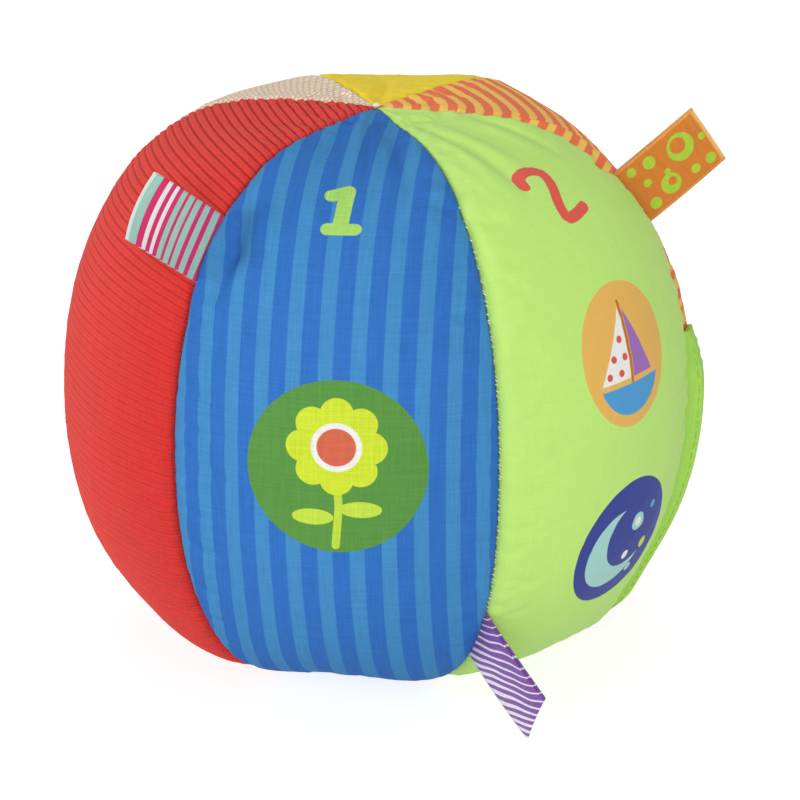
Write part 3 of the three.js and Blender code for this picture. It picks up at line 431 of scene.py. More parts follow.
def cover_place(angle, azimuth, depth, seam_valley=SEAM_VALLEY):
    """Point of the cover: the ring and rise of a fuller ellipse, scaled from the ball's centre by the crown
    of each gore, the valley at its seams, the bulge over the sound module, the hollows where the filling is
    slack and a depth, then dimpled at the top pole and held above the floor."""
    ring = ring_radius(angle)
    rise = BALL_HALF_HEIGHT * np.sign(np.cos(angle)) * np.abs(np.cos(angle)) ** CAP_EXPONENT
    turned = SEAMS[0] + np.mod(azimuth - SEAMS[0], 2.0 * math.pi)
    index = np.clip(sum(turned >= seam_at(k, angle) for k in range(6)) - 1, 0, 5)
    span = seam_at(index + 1, angle) - seam_at(index, angle)
    share = (turned - seam_at(index, angle)) / span
    from_seam = ring * span * np.minimum(share, 1.0 - share)
    swell = PANEL_CROWN * (1.0 - (2.0 * share - 1.0) ** 2) * np.sin(angle)
    drawn_in = seam_valley * (1.0 - TOP_SEAM_RISE * bell(angle, TOP_SEAM_AT, TOP_SEAM_SPREAD))
    swell = swell - drawn_in * np.maximum(0.0, 1.0 - from_seam / SEAM_HALF_WIDTH) ** 2
    bulge = bell(turn_from(azimuth, 0.0), 0.0, BULGE_SIDE) * bell(angle, BULGE_AT, BULGE_SPREAD)
    swell = swell + BULGE_HEIGHT * bulge
    for hollow, *degrees in HOLLOWS:
        down, around, down_spread, around_spread = np.radians(degrees)
        dent = bell(turn_from(azimuth, around), 0.0, around_spread) * bell(angle, down, down_spread)
        swell = swell - hollow * dent
    scale = 1.0 + (swell - depth) / np.hypot(ring, rise)
    dimple = np.where(rise > 0.0, POLE_DIMPLE * bell(np.sin(angle), 0.0, POLE_DIMPLE_SPREAD), 0.0)
    height = np.maximum(CENTRE_HEIGHT + rise * scale - dimple, np.maximum(depth, 0.0))
    return np.stack([ring * scale * np.cos(azimuth), ring * scale * np.sin(azimuth), height], axis=-1)


# Arc length down the middle of a gore, against the angle from the top pole.
half_angles = np.concatenate([np.geomspace(1e-7, 0.02, 300), np.linspace(0.0205, math.pi / 2.0, 1500)])
meridian_angles = np.concatenate([half_angles, math.pi - half_angles[::-1]])
middle_line = cover_place(meridian_angles, np.full_like(meridian_angles, math.pi / 2.0), 0.0)
meridian_steps = np.linalg.norm(np.diff(middle_line, axis=0), axis=1)
meridian_lengths = np.concatenate([[0.0], np.cumsum(meridian_steps)])
MERIDIAN = float(meridian_lengths[-1])


def angle_at(length):
    """Angle from the top pole at an arc length down the gore."""
    return np.interp(length, meridian_lengths, meridian_angles)


# The cover's puckers and slack come from a cloth simulation of the whole sewn cover, its cloth cut a little
# larger than its seams, which are held. It runs at ten times the size, and only the folds are kept.
SETTLE_ROWS = 151
SETTLE_COLUMNS = 30
SETTLE_FRAMES = 18
SETTLE_LARGER = 0.025
SETTLE_LIMIT = 0.0012
SETTLE_GAIN = 1.3
SETTLE_SMOOTHING = 120
SETTLE_SCALE = 10.0
SETTLE_INSET = 0.003
SETTLE_NOISE = 0.00006
HELD_TIP = 0.008
HELD_FLOOR = 0.003


def outward_at(points):
    """Direction out of the ball's centre at each point."""
    return unit(points - np.array(BALL_CENTRE))


def smooth_along(field, passes):
    """Field averaged again and again with its neighbours up and down each gore."""
    for _ in range(passes):
        padded = np.pad(field, ((1, 1), (0, 0)), mode="edge")
        field = 0.25 * padded[:-2] + 0.5 * field + 0.25 * padded[2:]
    return field


def settle_cover():
    """How far the cloth moves out or in at each place of a grid, rows down the gores and columns round the
    ball: the cloth's travel outwards, less its average up and down each gore."""
    around = 6 * SETTLE_COLUMNS
    moved = np.zeros((SETTLE_ROWS, around))
    length = np.linspace(SETTLE_INSET, MERIDIAN - SETTLE_INSET, SETTLE_ROWS)[:, None]
    angle = angle_at(length)
    column = np.arange(around)[None, :]
    index = column // SETTLE_COLUMNS
    share = (column % SETTLE_COLUMNS) / SETTLE_COLUMNS
    azimuth = seam_at(index, angle) + share * (seam_at(index + 1, angle) - seam_at(index, angle))
    noise = SETTLE_NOISE * np.random.default_rng(12).standard_normal(moved.shape)
    start = cover_place(angle, azimuth, noise)
    number = np.arange(moved.size).reshape(moved.shape)
    beside = np.roll(number, -1, axis=1)
    quads = np.stack([number[:-1], number[1:], beside[1:], beside[:-1]], axis=-1).reshape(-1, 4)
    mesh = bpy.data.meshes.new("settling")
    mesh.from_pydata((start.reshape(-1, 3) * SETTLE_SCALE).tolist(), [], quads.tolist())
    cover = bpy.data.objects.new("settling", mesh)
    scene.collection.objects.link(cover)
    held = (share == 0.0) | (length < HELD_TIP) | (start[..., 2] < HELD_FLOOR)
    cover.vertex_groups.new(name="held").add(number[held].tolist(), 1.0, "REPLACE")
    cloth = cover.modifiers.new("cloth", "CLOTH")
    settings = cloth.settings
    settings.vertex_group_mass = "held"
    settings.quality = 6
    settings.mass = 0.15
    settings.tension_stiffness = 20.0
    settings.compression_stiffness = 20.0
    settings.shear_stiffness = 8.0
    settings.bending_stiffness = 0.35
    settings.air_damping = 4.0
    settings.shrink_min = -SETTLE_LARGER
    settings.use_pressure = True
    settings.uniform_pressure_force = 3.0
    settings.effector_weights.gravity = 0.0
    cloth.collision_settings.use_collision = False
    cloth.point_cache.frame_start = 1
    cloth.point_cache.frame_end = SETTLE_FRAMES
    for step in range(1, SETTLE_FRAMES + 1):
        scene.frame_set(step)
    settled = cover.evaluated_get(bpy.context.evaluated_depsgraph_get()).to_mesh()
    end = np.empty(moved.size * 3)
    settled.vertices.foreach_get("co", end)
    scene.frame_set(1)
    bpy.data.objects.remove(cover)
    bpy.data.meshes.remove(mesh)
    moved = ((end.reshape(start.shape) / SETTLE_SCALE - start) * outward_at(start)).sum(axis=-1)
    folds = SETTLE_GAIN * (moved - smooth_along(moved, SETTLE_SMOOTHING))
    return np.where(np.isfinite(folds), np.clip(folds, -SETTLE_LIMIT, SETTLE_LIMIT), 0.0)


settled_folds = settle_cover()


def settled_at(index, along, share):
    """Simulated folds at a place of a gore, between the four nearest places of the grid."""
    part = np.clip((along - SETTLE_INSET) / (MERIDIAN - 2.0 * SETTLE_INSET), 0.0, 1.0)
    row = part * (SETTLE_ROWS - 1.001)
    column = SETTLE_COLUMNS * (index + share)
    above, left = np.floor(row).astype(int), np.floor(column).astype(int)
    down, right = row - above, column - left
    left, next_left = left % (6 * SETTLE_COLUMNS), (left + 1) % (6 * SETTLE_COLUMNS)
    upper = settled_folds[above, left] * (1.0 - right) + settled_folds[above, next_left] * right
    lower = settled_folds[above + 1, left] * (1.0 - right) + settled_folds[above + 1, next_left] * right
    return upper * (1.0 - down) + lower * down


def slab(outer, inner):
    """Points and faces of a closed sheet between an outer and an inner grid, rows running down and columns
    eastwards."""
    rows, columns = outer.shape[:2]
    index = np.arange(rows * columns).reshape(rows, columns)
    face = np.stack([index[:-1, :-1], index[1:, :-1], index[1:, 1:], index[:-1, 1:]], axis=-1).reshape(-1, 4)
    border = np.concatenate([index[:-1, 0], index[-1, :-1], index[:0:-1, -1], index[0, :0:-1]])
    ahead = np.roll(border, -1)
    shift = rows * columns
    rim = np.stack([border, border + shift, ahead + shift, ahead], axis=-1)
    points = np.concatenate([outer.reshape(-1, 3), inner.reshape(-1, 3)])
    return points, np.concatenate([face, face[:, ::-1] + shift, rim])


def sewn_mesh(name, *parts):
    """Smooth mesh of one or more sets of points and faces."""
    mesh = bpy.data.meshes.new(name)
    starts = np.cumsum([0] + [len(points) for points, _ in parts])
    faces = np.concatenate([quads + start for (_, quads), start in zip(parts, starts)])
    mesh.from_pydata(np.concatenate([points for points, _ in parts]).tolist(), [], faces.tolist())
    mesh.shade_smooth()
    return mesh


def lay_out(mesh, across, along):
    """Stores the cloth's own flat coordinates, in millimetres, on both faces of a slab."""
    flat = np.stack([across, along, np.zeros_like(across)], axis=-1).reshape(-1, 3) * 1000.0
    both = np.concatenate([flat, flat]).astype(np.float32)
    mesh.attributes.new("cloth", "FLOAT_VECTOR", "POINT").data.foreach_set("vector", both.ravel())


def fold(across, along, start, end, width, height):
    """Soft ridge along a line on the flat cloth, in metres: a bell across it that fades at both ends."""
    way = np.array(end) - np.array(start)
    length = np.linalg.norm(way)
    way = way / length
    ahead = ((across - start[0]) * way[0] + (along - start[1]) * way[1]) / length
    aside = (across - start[0]) * way[1] - (along - start[1]) * way[0]
    fade = np.clip(4.0 * ahead * (1.0 - ahead), 0.0, 1.0)
    return height * fade * bell(aside, 0.0, width)


LUMP_HEIGHT = 0.00022
LUMP_LENGTHS = (0.031, 0.043, 0.052, 0.037)
PUCKER_HEIGHT = 0.00011
PUCKER_LENGTHS = (0.0047, 0.0061, 0.0083, 0.0072)
PUCKER_GROUPS = (0.031, 0.047)
PUCKER_REACH = 0.0032
TIP_REACH = 0.012
RIB_MIDDLE = 0.7
RIB_EDGE = 0.0012


def gore(name, index, rows, columns, seed, folds=(), sag=TOP_SAG, rib=None):
    """One gore: rows by arc length from pole to pole, columns from seam to seam, closer at the seams. Its
    relief is the sag near the top pole, soft lumps of the filling, puckers that die away from the seams, the
    simulated folds, drag folds and, for the knit, ribs straight across the flat cloth: their level is the
    length less a bow, the square of the way across over twice the length, which fades out down the gore, and
    they count up as rate times level plus gain times its square. Each rib is split by a finer groove, and
    its main groove grows shallow down the gore."""
    along = np.linspace(TIP_START, MERIDIAN - TIP_START, rows)[:, None]
    angle = angle_at(along)
    span = seam_at(index + 1, angle) - seam_at(index, angle)
    width = ring_radius(angle) * span
    even = np.linspace(0.0, 1.0, columns)[None, :]
    share = 0.55 * even + 0.45 * (0.5 - 0.5 * np.cos(math.pi * even))
    opening = np.minimum(0.5 * SEAM_OPENING / width, 0.3)
    share = opening + share * (1.0 - 2.0 * opening)
    azimuth = seam_at(index, angle) + span * share
    across = ring_radius(angle) * (azimuth - 0.5 * (SEAMS[index] + SEAMS[index + 1]))
    along = along + 0.0 * share
    edge = width * np.minimum(share, 1.0 - share)
    east = np.where(share > 0.5, 1.0, 0.0)
    flat = np.stack([across, along], axis=-1)
    cross = 1.0 - (2.0 * share - 1.0) ** 2
    relief = -sag * cross * bell(along, TOP_SAG_AT, TOP_SAG_SPREAD)
    relief += LUMP_HEIGHT * cross * waves(flat, LUMP_LENGTHS, seed)
    for side in (0.0, 1.0):
        line = along[..., None]
        pucker = waves(line, PUCKER_LENGTHS, seed + 20 + int(side))
        strength = np.clip(0.5 + 0.5 * waves(line, PUCKER_GROUPS, seed + 40 + int(side)), 0.1, 1.2)
        puckered = PUCKER_HEIGHT * strength * pucker * np.exp(-edge / PUCKER_REACH)
        relief += np.where(east == side, puckered, 0.0)
    relief += settled_at(index, along, share + 0.0 * along)
    for start, end, wide, high in folds:
        relief += fold(across, along, start, end, wide, high)
    tips = np.clip(np.minimum(along, MERIDIAN - along) / TIP_REACH, 0.0, 1.0)
    roll = SEAM_ROLL * np.exp(-edge / SEAM_ROLL_REACH) * tips
    top = relief
    if rib is not None:
        rate, gain, high = rib
        level = along - across ** 2 / (2.0 * along) * np.clip(1.0 - along / RIB_BOW_END, 0.0, 1.0)
        count = level * (rate + gain * level)
        depth = RIB_LOW + (1.0 - RIB_LOW) * np.exp(-(along / RIB_FADE) ** 4)
        ridge = depth * np.abs(np.sin(math.pi * count)) + RIB_SPLIT * np.abs(np.sin(2.0 * math.pi * count))
        top = relief + high * (ridge - RIB_MIDDLE) * np.clip(edge / RIB_EDGE, 0.0, 1.0)
    outer = cover_place(angle, azimuth, roll - top)
    inner = cover_place(angle, azimuth, roll - relief + CLOTH_THICKNESS)
    mesh = sewn_mesh(name, slab(outer, inner))
    lay_out(mesh, across, along)
    return show(name, mesh)


def cloth_finish(name, roughness, sheen, shine=0.2):
    """New cloth material: itself, its shader and its place on the flat cloth in millimetres."""
    material, shader, _ = start_finish(name)
    fill_in(shader, {"Roughness": roughness, "Specular IOR Level": shine, "Sheen Weight": sheen,
                     "Sheen Roughness": 0.4})
    flat = add_node("Attribute", {}, shader.id_data, attribute_name="cloth").outputs["Vector"]
    return material, shader, flat


def shade(colour, tone, low, high):
    """Colour made darker or lighter by a tone of 0 to 1."""
    plain = colour[:3] if isinstance(colour, tuple) else colour
    return scaled(plain, rescale(tone, 0.0, 1.0, low, high))


def weave_in(shader, flat, threads, ink, low, high, height):
    """Woven ink: the tone of each thread shades it from low to high, and the threads stand as bump."""
    weave = use_group(plain_weave, Place=flat, Threads=threads)
    fill_in(shader, {"Base Color": shade(ink, weave["Tone"], low, high)})
    add_bump(shader, weave["Height"], height)


def print_mask_group(name, stroke):
    """Mask of printed ink: a spot round a centre, stretched by a factor in each way, or a round-ended stroke
    from one point to another; 1 inside, 0 outside, with a soft edge of a tenth of a millimetre."""
    tree, given, result = start_group(name, ("Place", "First", "Second"), ("Radius",), ("Mask",))

    def vector(operation, *values):
        """Vector math node; its outputs."""
        return add_node("VectorMath", dict(enumerate(values)), operation=operation).outputs

    offset = vector("SUBTRACT", given["Place"], given["First"])[0]
    if stroke:
        reach = vector("SUBTRACT", given["Second"], given["First"])[0]
        part = reckon("DIVIDE", vector("DOT_PRODUCT", offset, reach)["Value"],
                      vector("DOT_PRODUCT", reach, reach)["Value"])
        held = rescale(part, 0.0, 1.0, 0.0, 1.0)
        offset = vector("SUBTRACT", offset, scaled(reach, held))[0]
    else:
        offset = vector("MULTIPLY", offset, given["Second"])[0]
    past = reckon("SUBTRACT", vector("LENGTH", offset)["Value"], given["Radius"])
    fill_in(result, {"Mask": rescale(past, -0.1, 0.1, 1.0, 0.0, "SMOOTHSTEP")})
    return tree


spot_mask = print_mask_group("spot_mask", False)
stroke_mask = print_mask_group("stroke_mask", True)


def spot(flat, x, y, radius, wide=1.0, tall=1.0):
    """Mask of a spot at x, y in millimetres, wide and tall times its radius."""
    return use_group(spot_mask, Place=flat, First=(x, y, 0.0), Second=(1.0 / wide, 1.0 / tall, 0.0),
                     Radius=radius)["Mask"]


def print_spots(flat, ink, *spots):
    """Ink with spots printed over it in turn, each given by its x, y, radius and colour."""
    for x, y, radius, colour in spots:
        ink = over(spot(flat, x, y, radius), ink, colour)
    return ink


def print_line(flat, ink, path, radius, colour):
    """Ink with a line printed over it through the points of a path, with round ends."""
    total = 0.0
    for (x0, y0), (x1, y1) in zip(path, path[1:]):
        mask = use_group(stroke_mask, Place=flat, First=(x0, y0, 0.0), Second=(x1, y1, 0.0),
                         Radius=radius)["Mask"]
        total = reckon("MAXIMUM", total, mask)
    return over(total, ink, colour)


def bands(position, centre, period, width):
    """Printed stripes: 1 within half a width of every period from the centre."""
    turns = reckon("DIVIDE", reckon("SUBTRACT", position, centre), period)
    turn = reckon("FRACT", reckon("ADD", turns, 100.5))
    apart = reckon("MULTIPLY", reckon("ABSOLUTE", reckon("SUBTRACT", turn, 0.5)), period)
    past = reckon("MULTIPLY_ADD", width, -0.5, apart)
    return rescale(past, -0.12, 0.12, 1.0, 0.0, "SMOOTHSTEP")


def finish_gore(piece, material):
    """Dresses a gore and gives it its place in the frame."""
    finish_piece(piece, material, "ball", piece.name.replace("gore", "panel"))


# Blue gore: plain-woven cotton printed with light stripes down its length, a numeral and a round medallion
# with a flower. Sewn between the red and green gores, it creases under the pole and beside the pink tag.
blue = gore("gore_blue", 0, 300, 110, 3, folds=(
    ((-0.0262, 0.0500), (-0.0360, 0.0840), 0.0017, 0.0014),
    ((-0.0225, 0.0560), (-0.0285, 0.0790), 0.0026, -0.0024),
    ((-0.0290, 0.0665), (-0.0150, 0.0655), 0.0035, -0.0010),
    ((-0.0022, 0.0040), (0.0015, 0.0460), 0.0018, 0.0013),
    ((0.0035, 0.0080), (0.0145, 0.0500), 0.0024, -0.0014),
    ((-0.0030, 0.0090), (-0.0075, 0.0400), 0.0024, -0.0008),
    ((0.0180, 0.0520), (0.0290, 0.0557), 0.0012, -0.0008),
    ((0.0150, 0.0470), (0.0270, 0.0505), 0.0022, 0.0007),
    ((0.0240, 0.0785), (0.0370, 0.0798), 0.0010, -0.0006),
    ((-0.0330, 0.1150), (-0.0210, 0.1180), 0.0016, -0.0004),
    ((0.0250, 0.1460), (0.0380, 0.1420), 0.0014, -0.0004),
))
blue_cloth, shader, flat = cloth_finish("blue_stripe_cloth", 0.75, 0.0, 0.1)
ink = over(bands(axes(flat)[0], -0.85, 7.06, 3.3), srgb(52, 115, 195), srgb(70, 142, 200))
one_lime = srgb(172, 220, 108)
ink = print_line(flat, ink, ((-2.9, 48.9), (0.4, 47.2), (-0.1, 57.6)), 1.75, one_lime)
ink = print_line(flat, ink, ((-2.9, 58.2), (3.2, 58.0)), 1.5, one_lime)
FLOWER_X, FLOWER_Y = 1.9, 107.0
ink = print_spots(flat, ink, (FLOWER_X, 112.0, 20.0, srgb(92, 150, 70)))
stalk = ((FLOWER_X, 112.0), (2.4, 121.0), (1.6, 130.4))
ink = print_line(flat, ink, stalk, 0.9, srgb(190, 222, 70))
for leaf_x, leaf_y in ((-3.4, 123.6), (7.2, 121.4)):
    ink = over(spot(flat, leaf_x, leaf_y, 4.6, 1.0, 0.42), ink, srgb(196, 226, 74))
for k in range(8):
    petal_x = FLOWER_X + 7.4 * math.sin(k * math.pi / 4.0)
    petal_y = FLOWER_Y - 7.4 * math.cos(k * math.pi / 4.0)
    ink = print_spots(flat, ink, (petal_x, petal_y, 3.7, srgb(208, 228, 58)))
ink = print_spots(flat, ink, (FLOWER_X, FLOWER_Y, 5.6, srgb(240, 238, 230)),
                  (FLOWER_X, FLOWER_Y, 4.3, srgb(214, 106, 80)))
weave_in(shader, flat, 2.5, ink, 0.9, 1.08, 6e-5)
finish_gore(blue, blue_cloth)

# Green gore: woven polyester satin, printed with a numeral and two round medallions, a boat and a moon.
# It is cut and sewn like the blue one, and the pull of the top pole draws long folds down from it.
green = gore("gore_green", 1, 300, 110, 4, folds=(
    ((-0.0085, 0.018), (-0.0150, 0.052), 0.0022, 0.0006),
    ((-0.0060, 0.016), (-0.0102, 0.056), 0.0018, -0.0011),
    ((-0.0030, 0.016), (-0.0050, 0.050), 0.0022, 0.0005),
    ((0.0050, 0.018), (0.0060, 0.046), 0.0020, 0.0004),
    ((0.0092, 0.019), (0.0114, 0.049), 0.0016, -0.0008),
    ((0.0220, 0.0545), (0.0335, 0.0580), 0.0018, -0.0010),
    ((-0.0340, 0.118), (-0.0230, 0.121), 0.0012, -0.0004),
    ((-0.0330, 0.131), (-0.0240, 0.130), 0.0010, 0.0003),
))


def rounded(path):
    """Path with each corner cut off at a quarter of its sides, so that it bends in smaller steps."""
    points = np.array(path)
    near_start = 0.75 * points[:-1] + 0.25 * points[1:]
    near_end = 0.25 * points[:-1] + 0.75 * points[1:]
    cut = np.stack([near_start, near_end], axis=1).reshape(-1, 2)
    return np.concatenate([points[:1], cut, points[-1:]]).tolist()


green_cloth, shader, flat = cloth_finish("green_satin_cloth", 0.6, 0.03)
across, along, _ = axes(flat)
two = rounded(((-8.6, 51.2), (-8.2, 48.6), (-4.8, 47.4), (-1.2, 48.6), (-0.9, 51.6), (-2.6, 55.2),
               (-4.2, 58.4), (-4.6, 62.2), (-1.4, 62.0), (2.6, 60.9)))
ink = print_line(flat, srgb(193, 236, 122), two, 1.42, srgb(226, 92, 78))
MAST_X = -1.8
ink = over(spot(flat, MAST_X, 95.6, 15.5, 0.93, 1.08), ink, srgb(234, 184, 92))
above_hull = rescale(along, 100.9, 101.1, 1.0, 0.0)
for way, steepness, sail in ((-1.0, 1.75, srgb(242, 240, 236)), (1.0, 2.3, srgb(160, 112, 186))):
    beside = reckon("MULTIPLY", reckon("SUBTRACT", across, MAST_X), way)
    leech = reckon("MULTIPLY_ADD", beside, steepness, 83.6)
    below_leech = rescale(reckon("SUBTRACT", along, leech), -0.2, 0.2, 0.0, 1.0)
    cloth = reckon("MULTIPLY", below_leech, above_hull)
    cloth = reckon("MULTIPLY", cloth, rescale(beside, 0.5, 0.7, 0.0, 1.0))
    ink = over(cloth, ink, sail)
for dot_x, dot_y in ((-4.4, 91.6), (-3.6, 95.8), (-7.2, 95.6), (-5.4, 99.2), (-9.2, 99.3)):
    ink = print_spots(flat, ink, (dot_x, dot_y, 0.85, srgb(218, 90, 76)))
ink = print_line(flat, ink, ((MAST_X, 83.4), (MAST_X, 103.0)), 0.42, srgb(196, 112, 48))
below_deck = rescale(along, 102.2, 102.4, 0.0, 1.0)
hull = reckon("MULTIPLY", spot(flat, MAST_X, 99.0, 10.6), below_deck)
ink = over(hull, ink, srgb(78, 158, 212))
ink = print_spots(flat, ink, (0.0, 143.0, 16.5, srgb(50, 64, 146)))
moon = reckon("MULTIPLY", spot(flat, -2.6, 144.0, 10.4),
              reckon("SUBTRACT", 1.0, spot(flat, 1.6, 141.2, 8.6)))
moon_mint, star_white = srgb(168, 216, 208), srgb(240, 240, 238)
ink = print_spots(
    flat, over(moon, ink, moon_mint),
    (3.4, 138.4, 2.3, moon_mint), (3.4, 138.4, 1.1, star_white), (8.6, 146.2, 1.5, srgb(196, 226, 84)),
    (1.4, 147.0, 1.2, star_white), (9.4, 136.0, 1.0, srgb(96, 166, 216)), (5.6, 152.4, 1.2, moon_mint),
)
weave_in(shader, flat, 3.2, ink, 0.975, 1.02, 2.5e-5)
finish_gore(green, green_cloth)

# Orange gore: the same printed cotton as the blue one in coral and amber, its stripes laid across the cloth.
# It is sewn between the green and yellow gores, behind the closure, with a pleat beside the green seam.
orange = gore("gore_orange", 2, 260, 90, 5, folds=(
    ((-0.0115, 0.0160), (-0.0195, 0.0740), 0.0013, -0.0011),
    ((-0.0150, 0.0160), (-0.0225, 0.0740), 0.0016, 0.0005),
))
orange_cloth, shader, flat = cloth_finish("orange_stripe_cloth", 0.7, 0.02)
ink = over(bands(axes(flat)[1], 1.0, 4.3, 2.3), srgb(255, 206, 98), srgb(248, 122, 82))
weave_in(shader, flat, 2.5, ink, 0.93, 1.05, 6e-5)
finish_gore(orange, orange_cloth)

# Yellow gore: plain fine-knit cotton, a back panel sewn between the orange and beige gores.
# Only its tip shows in front, where a crease runs down from the top pole.
yellow = gore("gore_yellow", 3, 260, 90, 6, sag=0.0026, folds=(
    ((0.0, 0.003), (0.002, 0.034), 0.0016, -0.0011),
))
yellow_cloth, shader, flat = cloth_finish("yellow_knit", 0.75, 0.02)
weave_in(shader, flat, 2.8, srgb(255, 228, 56), 0.95, 1.04, 5e-5)
finish_gore(yellow, yellow_cloth)

# Beige gore: peach waffle mesh, knitted with rows of short raised white dashes, the other back panel.
# It is cut narrower than the rest and sewn between the yellow and red gores.
beige = gore("gore_beige", 4, 260, 90, 7)
beige_cloth, shader, flat = cloth_finish("beige_waffle", 0.85, 0.1)
brick = {"Scale": 1.0, "Brick Width": 1.9, "Row Height": 1.05, "Mortar Size": 0.26, "Mortar Smooth": 0.4}
dash = add_node("TexBrick", {"Vector": flat, **brick}).outputs["Fac"]
waffle = over(dash, srgb(252, 246, 236), srgb(240, 196, 146))
yarn = use_group(plain_weave, Place=flat, Threads=2.0)
fill_in(shader, {"Base Color": shade(waffle, yarn["Tone"], 0.94, 1.04)})
add_bump(shader, reckon("SUBTRACT", 1.0, dash), 2.5e-4)
finish_gore(beige, beige_cloth)

# Red gore: rib knit of soft yarn, cut so that its ribs run across the gore from seam to seam.
# It is the widest gore, sewn between beige and blue. Its ribs stand out near the top pole and are drawn flat
# where the ball is full, so that only their two rows of loops show.
RIB_RATE = 455.0
RIB_GAIN = 170.0
RIB_HEIGHT = 0.00055
red = gore("gore_red", 5, 1000, 44, 8, rib=(RIB_RATE, RIB_GAIN, RIB_HEIGHT))
red_cloth, shader, flat = cloth_finish("red_rib_knit", 0.85, 0.05)
across, along, _ = axes(flat)
bow = reckon("DIVIDE", reckon("MULTIPLY", across, across), reckon("MULTIPLY", along, 2.0))
bow = reckon("MULTIPLY", bow, rescale(along, 0.0, RIB_BOW_END * 1e3, 1.0, 0.0))
level = reckon("SUBTRACT", along, bow)
rate = reckon("MULTIPLY_ADD", level, RIB_GAIN * 1e-6, RIB_RATE * 1e-3)
count = reckon("MULTIPLY", level, rate)
# Painted shade: rib grooves and the finer split between loops are painted dark red, less so down the gore.
groove = rescale(humps(count), 0.0, 0.65, 1.0, 0.0)
groove = reckon("MULTIPLY", groove, rescale(along, 45.0, 95.0, 1.0, RIB_LOW))
split = rescale(humps(reckon("MULTIPLY", count, 2.0)), 0.0, 0.6, RIB_SPLIT, 0.0)
# Painted light: the red is lighter, a painted sheen, up to 12 mm across and darker, a painted shade, past 44
# mm towards the blue seam.
red_painted_sheen_and_shade = over(rescale(across, 12.0, 44.0, 0.0, 1.0), srgb(237, 72, 62), srgb(219, 52, 48))
ink = over(reckon("MAXIMUM", groove, split), red_painted_sheen_and_shade, srgb(180, 32, 32))
yarn = use_group(plain_weave, Place=flat, Threads=1.9)
# Painted shade: the red is darker where the threads dip, for shade between the knit's loops.
ink = shade(ink, yarn["Height"], 0.9, 1.04)
fill_in(shader, {"Base Color": shade(ink, yarn["Tone"], 0.92, 1.06)})
add_bump(shader, yarn["Height"], 8e-5)
finish_gore(red, red_cloth)


# Stuffing: polyester fibre packed round the pouch. It takes the inside of the cover, with the soft lumps of
# handfuls of fibre, and stays a little under the cloth.
FIBRE_DRAW_IN = 0.0012
FIBRE_LUMP = 0.0005
FIBRE_LUMP_SINK = 1.6
FIBRE_TOP_SAG = 0.004
FIBRE_TOP_RADIUS = 0.03
FIBRE_TOP_SPREAD = 0.025
FIBRE_TOP_HEIGHT = 0.11
FIBRE_TOP_FADE = 0.01
stuffing = soft_copy("stuffing", "stuffing_fibre", 2)
fibre_points, fibre_normals = points_and_normals(stuffing.data)
spread_out = np.hypot(fibre_points[:, 0], fibre_points[:, 1])
near_top = bell(spread_out, FIBRE_TOP_RADIUS, FIBRE_TOP_SPREAD)
near_top *= np.clip((fibre_points[:, 2] - FIBRE_TOP_HEIGHT) / FIBRE_TOP_FADE, 0.0, 1.0)
lumps = FIBRE_LUMP * (waves(fibre_points, (0.008, 0.012, 0.019, 0.015), 31) - FIBRE_LUMP_SINK)
fibre_points = fibre_points + fibre_normals * (lumps - FIBRE_DRAW_IN)[:, None]
fibre_points[:, 2] -= FIBRE_TOP_SAG * near_top
move_points(stuffing.data, fibre_points)
fibre, shader, where = start_finish("fibre_fill")
strand = cloudy(where, 1400.0, 6.0, (1.0, 0.3, 0.3))
fibre_white = over(strand, srgb(226, 225, 220), srgb(250, 249, 246))
fill_in(shader, {"Base Color": fibre_white, "Roughness": 1.0})
add_bump(shader, strand, 4e-4)
finish_piece(stuffing, fibre, "ball", "stuffing")


# Seam thread: spun polyester that draws neighbouring gores together. Each stitch shows as a short bar low
# in its seam, pale in five seams and navy in the red and blue one; the closure's stretch is left open.
STITCH_FIRST = 0.007
STITCH_LAST = math.radians(163.0)
STITCH_PITCH = 0.0013
STITCH_RADIUS = 0.00013
STITCH_REACH = 0.00036
SHOWN_DEPTH = -0.0002
STITCH_DEPTH = 0.0003
HIDDEN_DEPTH = 0.0008
STITCH_SINK = 0.0011
STITCH_DIP = 0.0005
STITCH_SLANT = 0.0003
STITCH_DRIFT = 0.0005
STITCH_TOP = (0.045, 0.065)
STITCH_TOP_SINK = 0.001
CLOSURE_TOP = math.radians(80.0)
CLOSURE_END = math.radians(148.0)


def threads(paths, outward, radius, sides=6):
    """Round tubes along many short paths at once, paths as count by steps by three: a ring of points about
    each step, spread between the outward direction and its side, joined ring to ring and closed at both
    ends."""
    count, steps = paths.shape[:2]
    along = unit(np.gradient(paths, axis=1))
    aside = unit(np.cross(along, outward[:, None, :]))
    lift = np.cross(aside, along)
    turn = np.linspace(0.0, 2.0 * math.pi, sides, endpoint=False)[:, None]
    ends = np.ones(steps)
    ends[[0, -1]] = 0.6
    size = (radius * ends)[None, :, None, None]
    spread = np.cos(turn) * lift[:, :, None, :] + np.sin(turn) * aside[:, :, None, :]
    rings = paths[:, :, None, :] + size * spread
    index = np.arange(count * steps * sides).reshape(count, steps, sides)
    beside = np.roll(index, -1, axis=2)
    walls = np.stack([index[:, :-1], index[:, 1:], beside[:, 1:], beside[:, :-1]], axis=-1).reshape(-1, 4)
    near, far = index[:, 0], index[:, -1]
    caps = [near[:, (0, 1, 2, 3)], near[:, (0, 3, 4, 5)], far[:, (3, 2, 1, 0)], far[:, (5, 4, 3, 0)]]
    return rings.reshape(-1, 3), np.concatenate([walls, *caps])


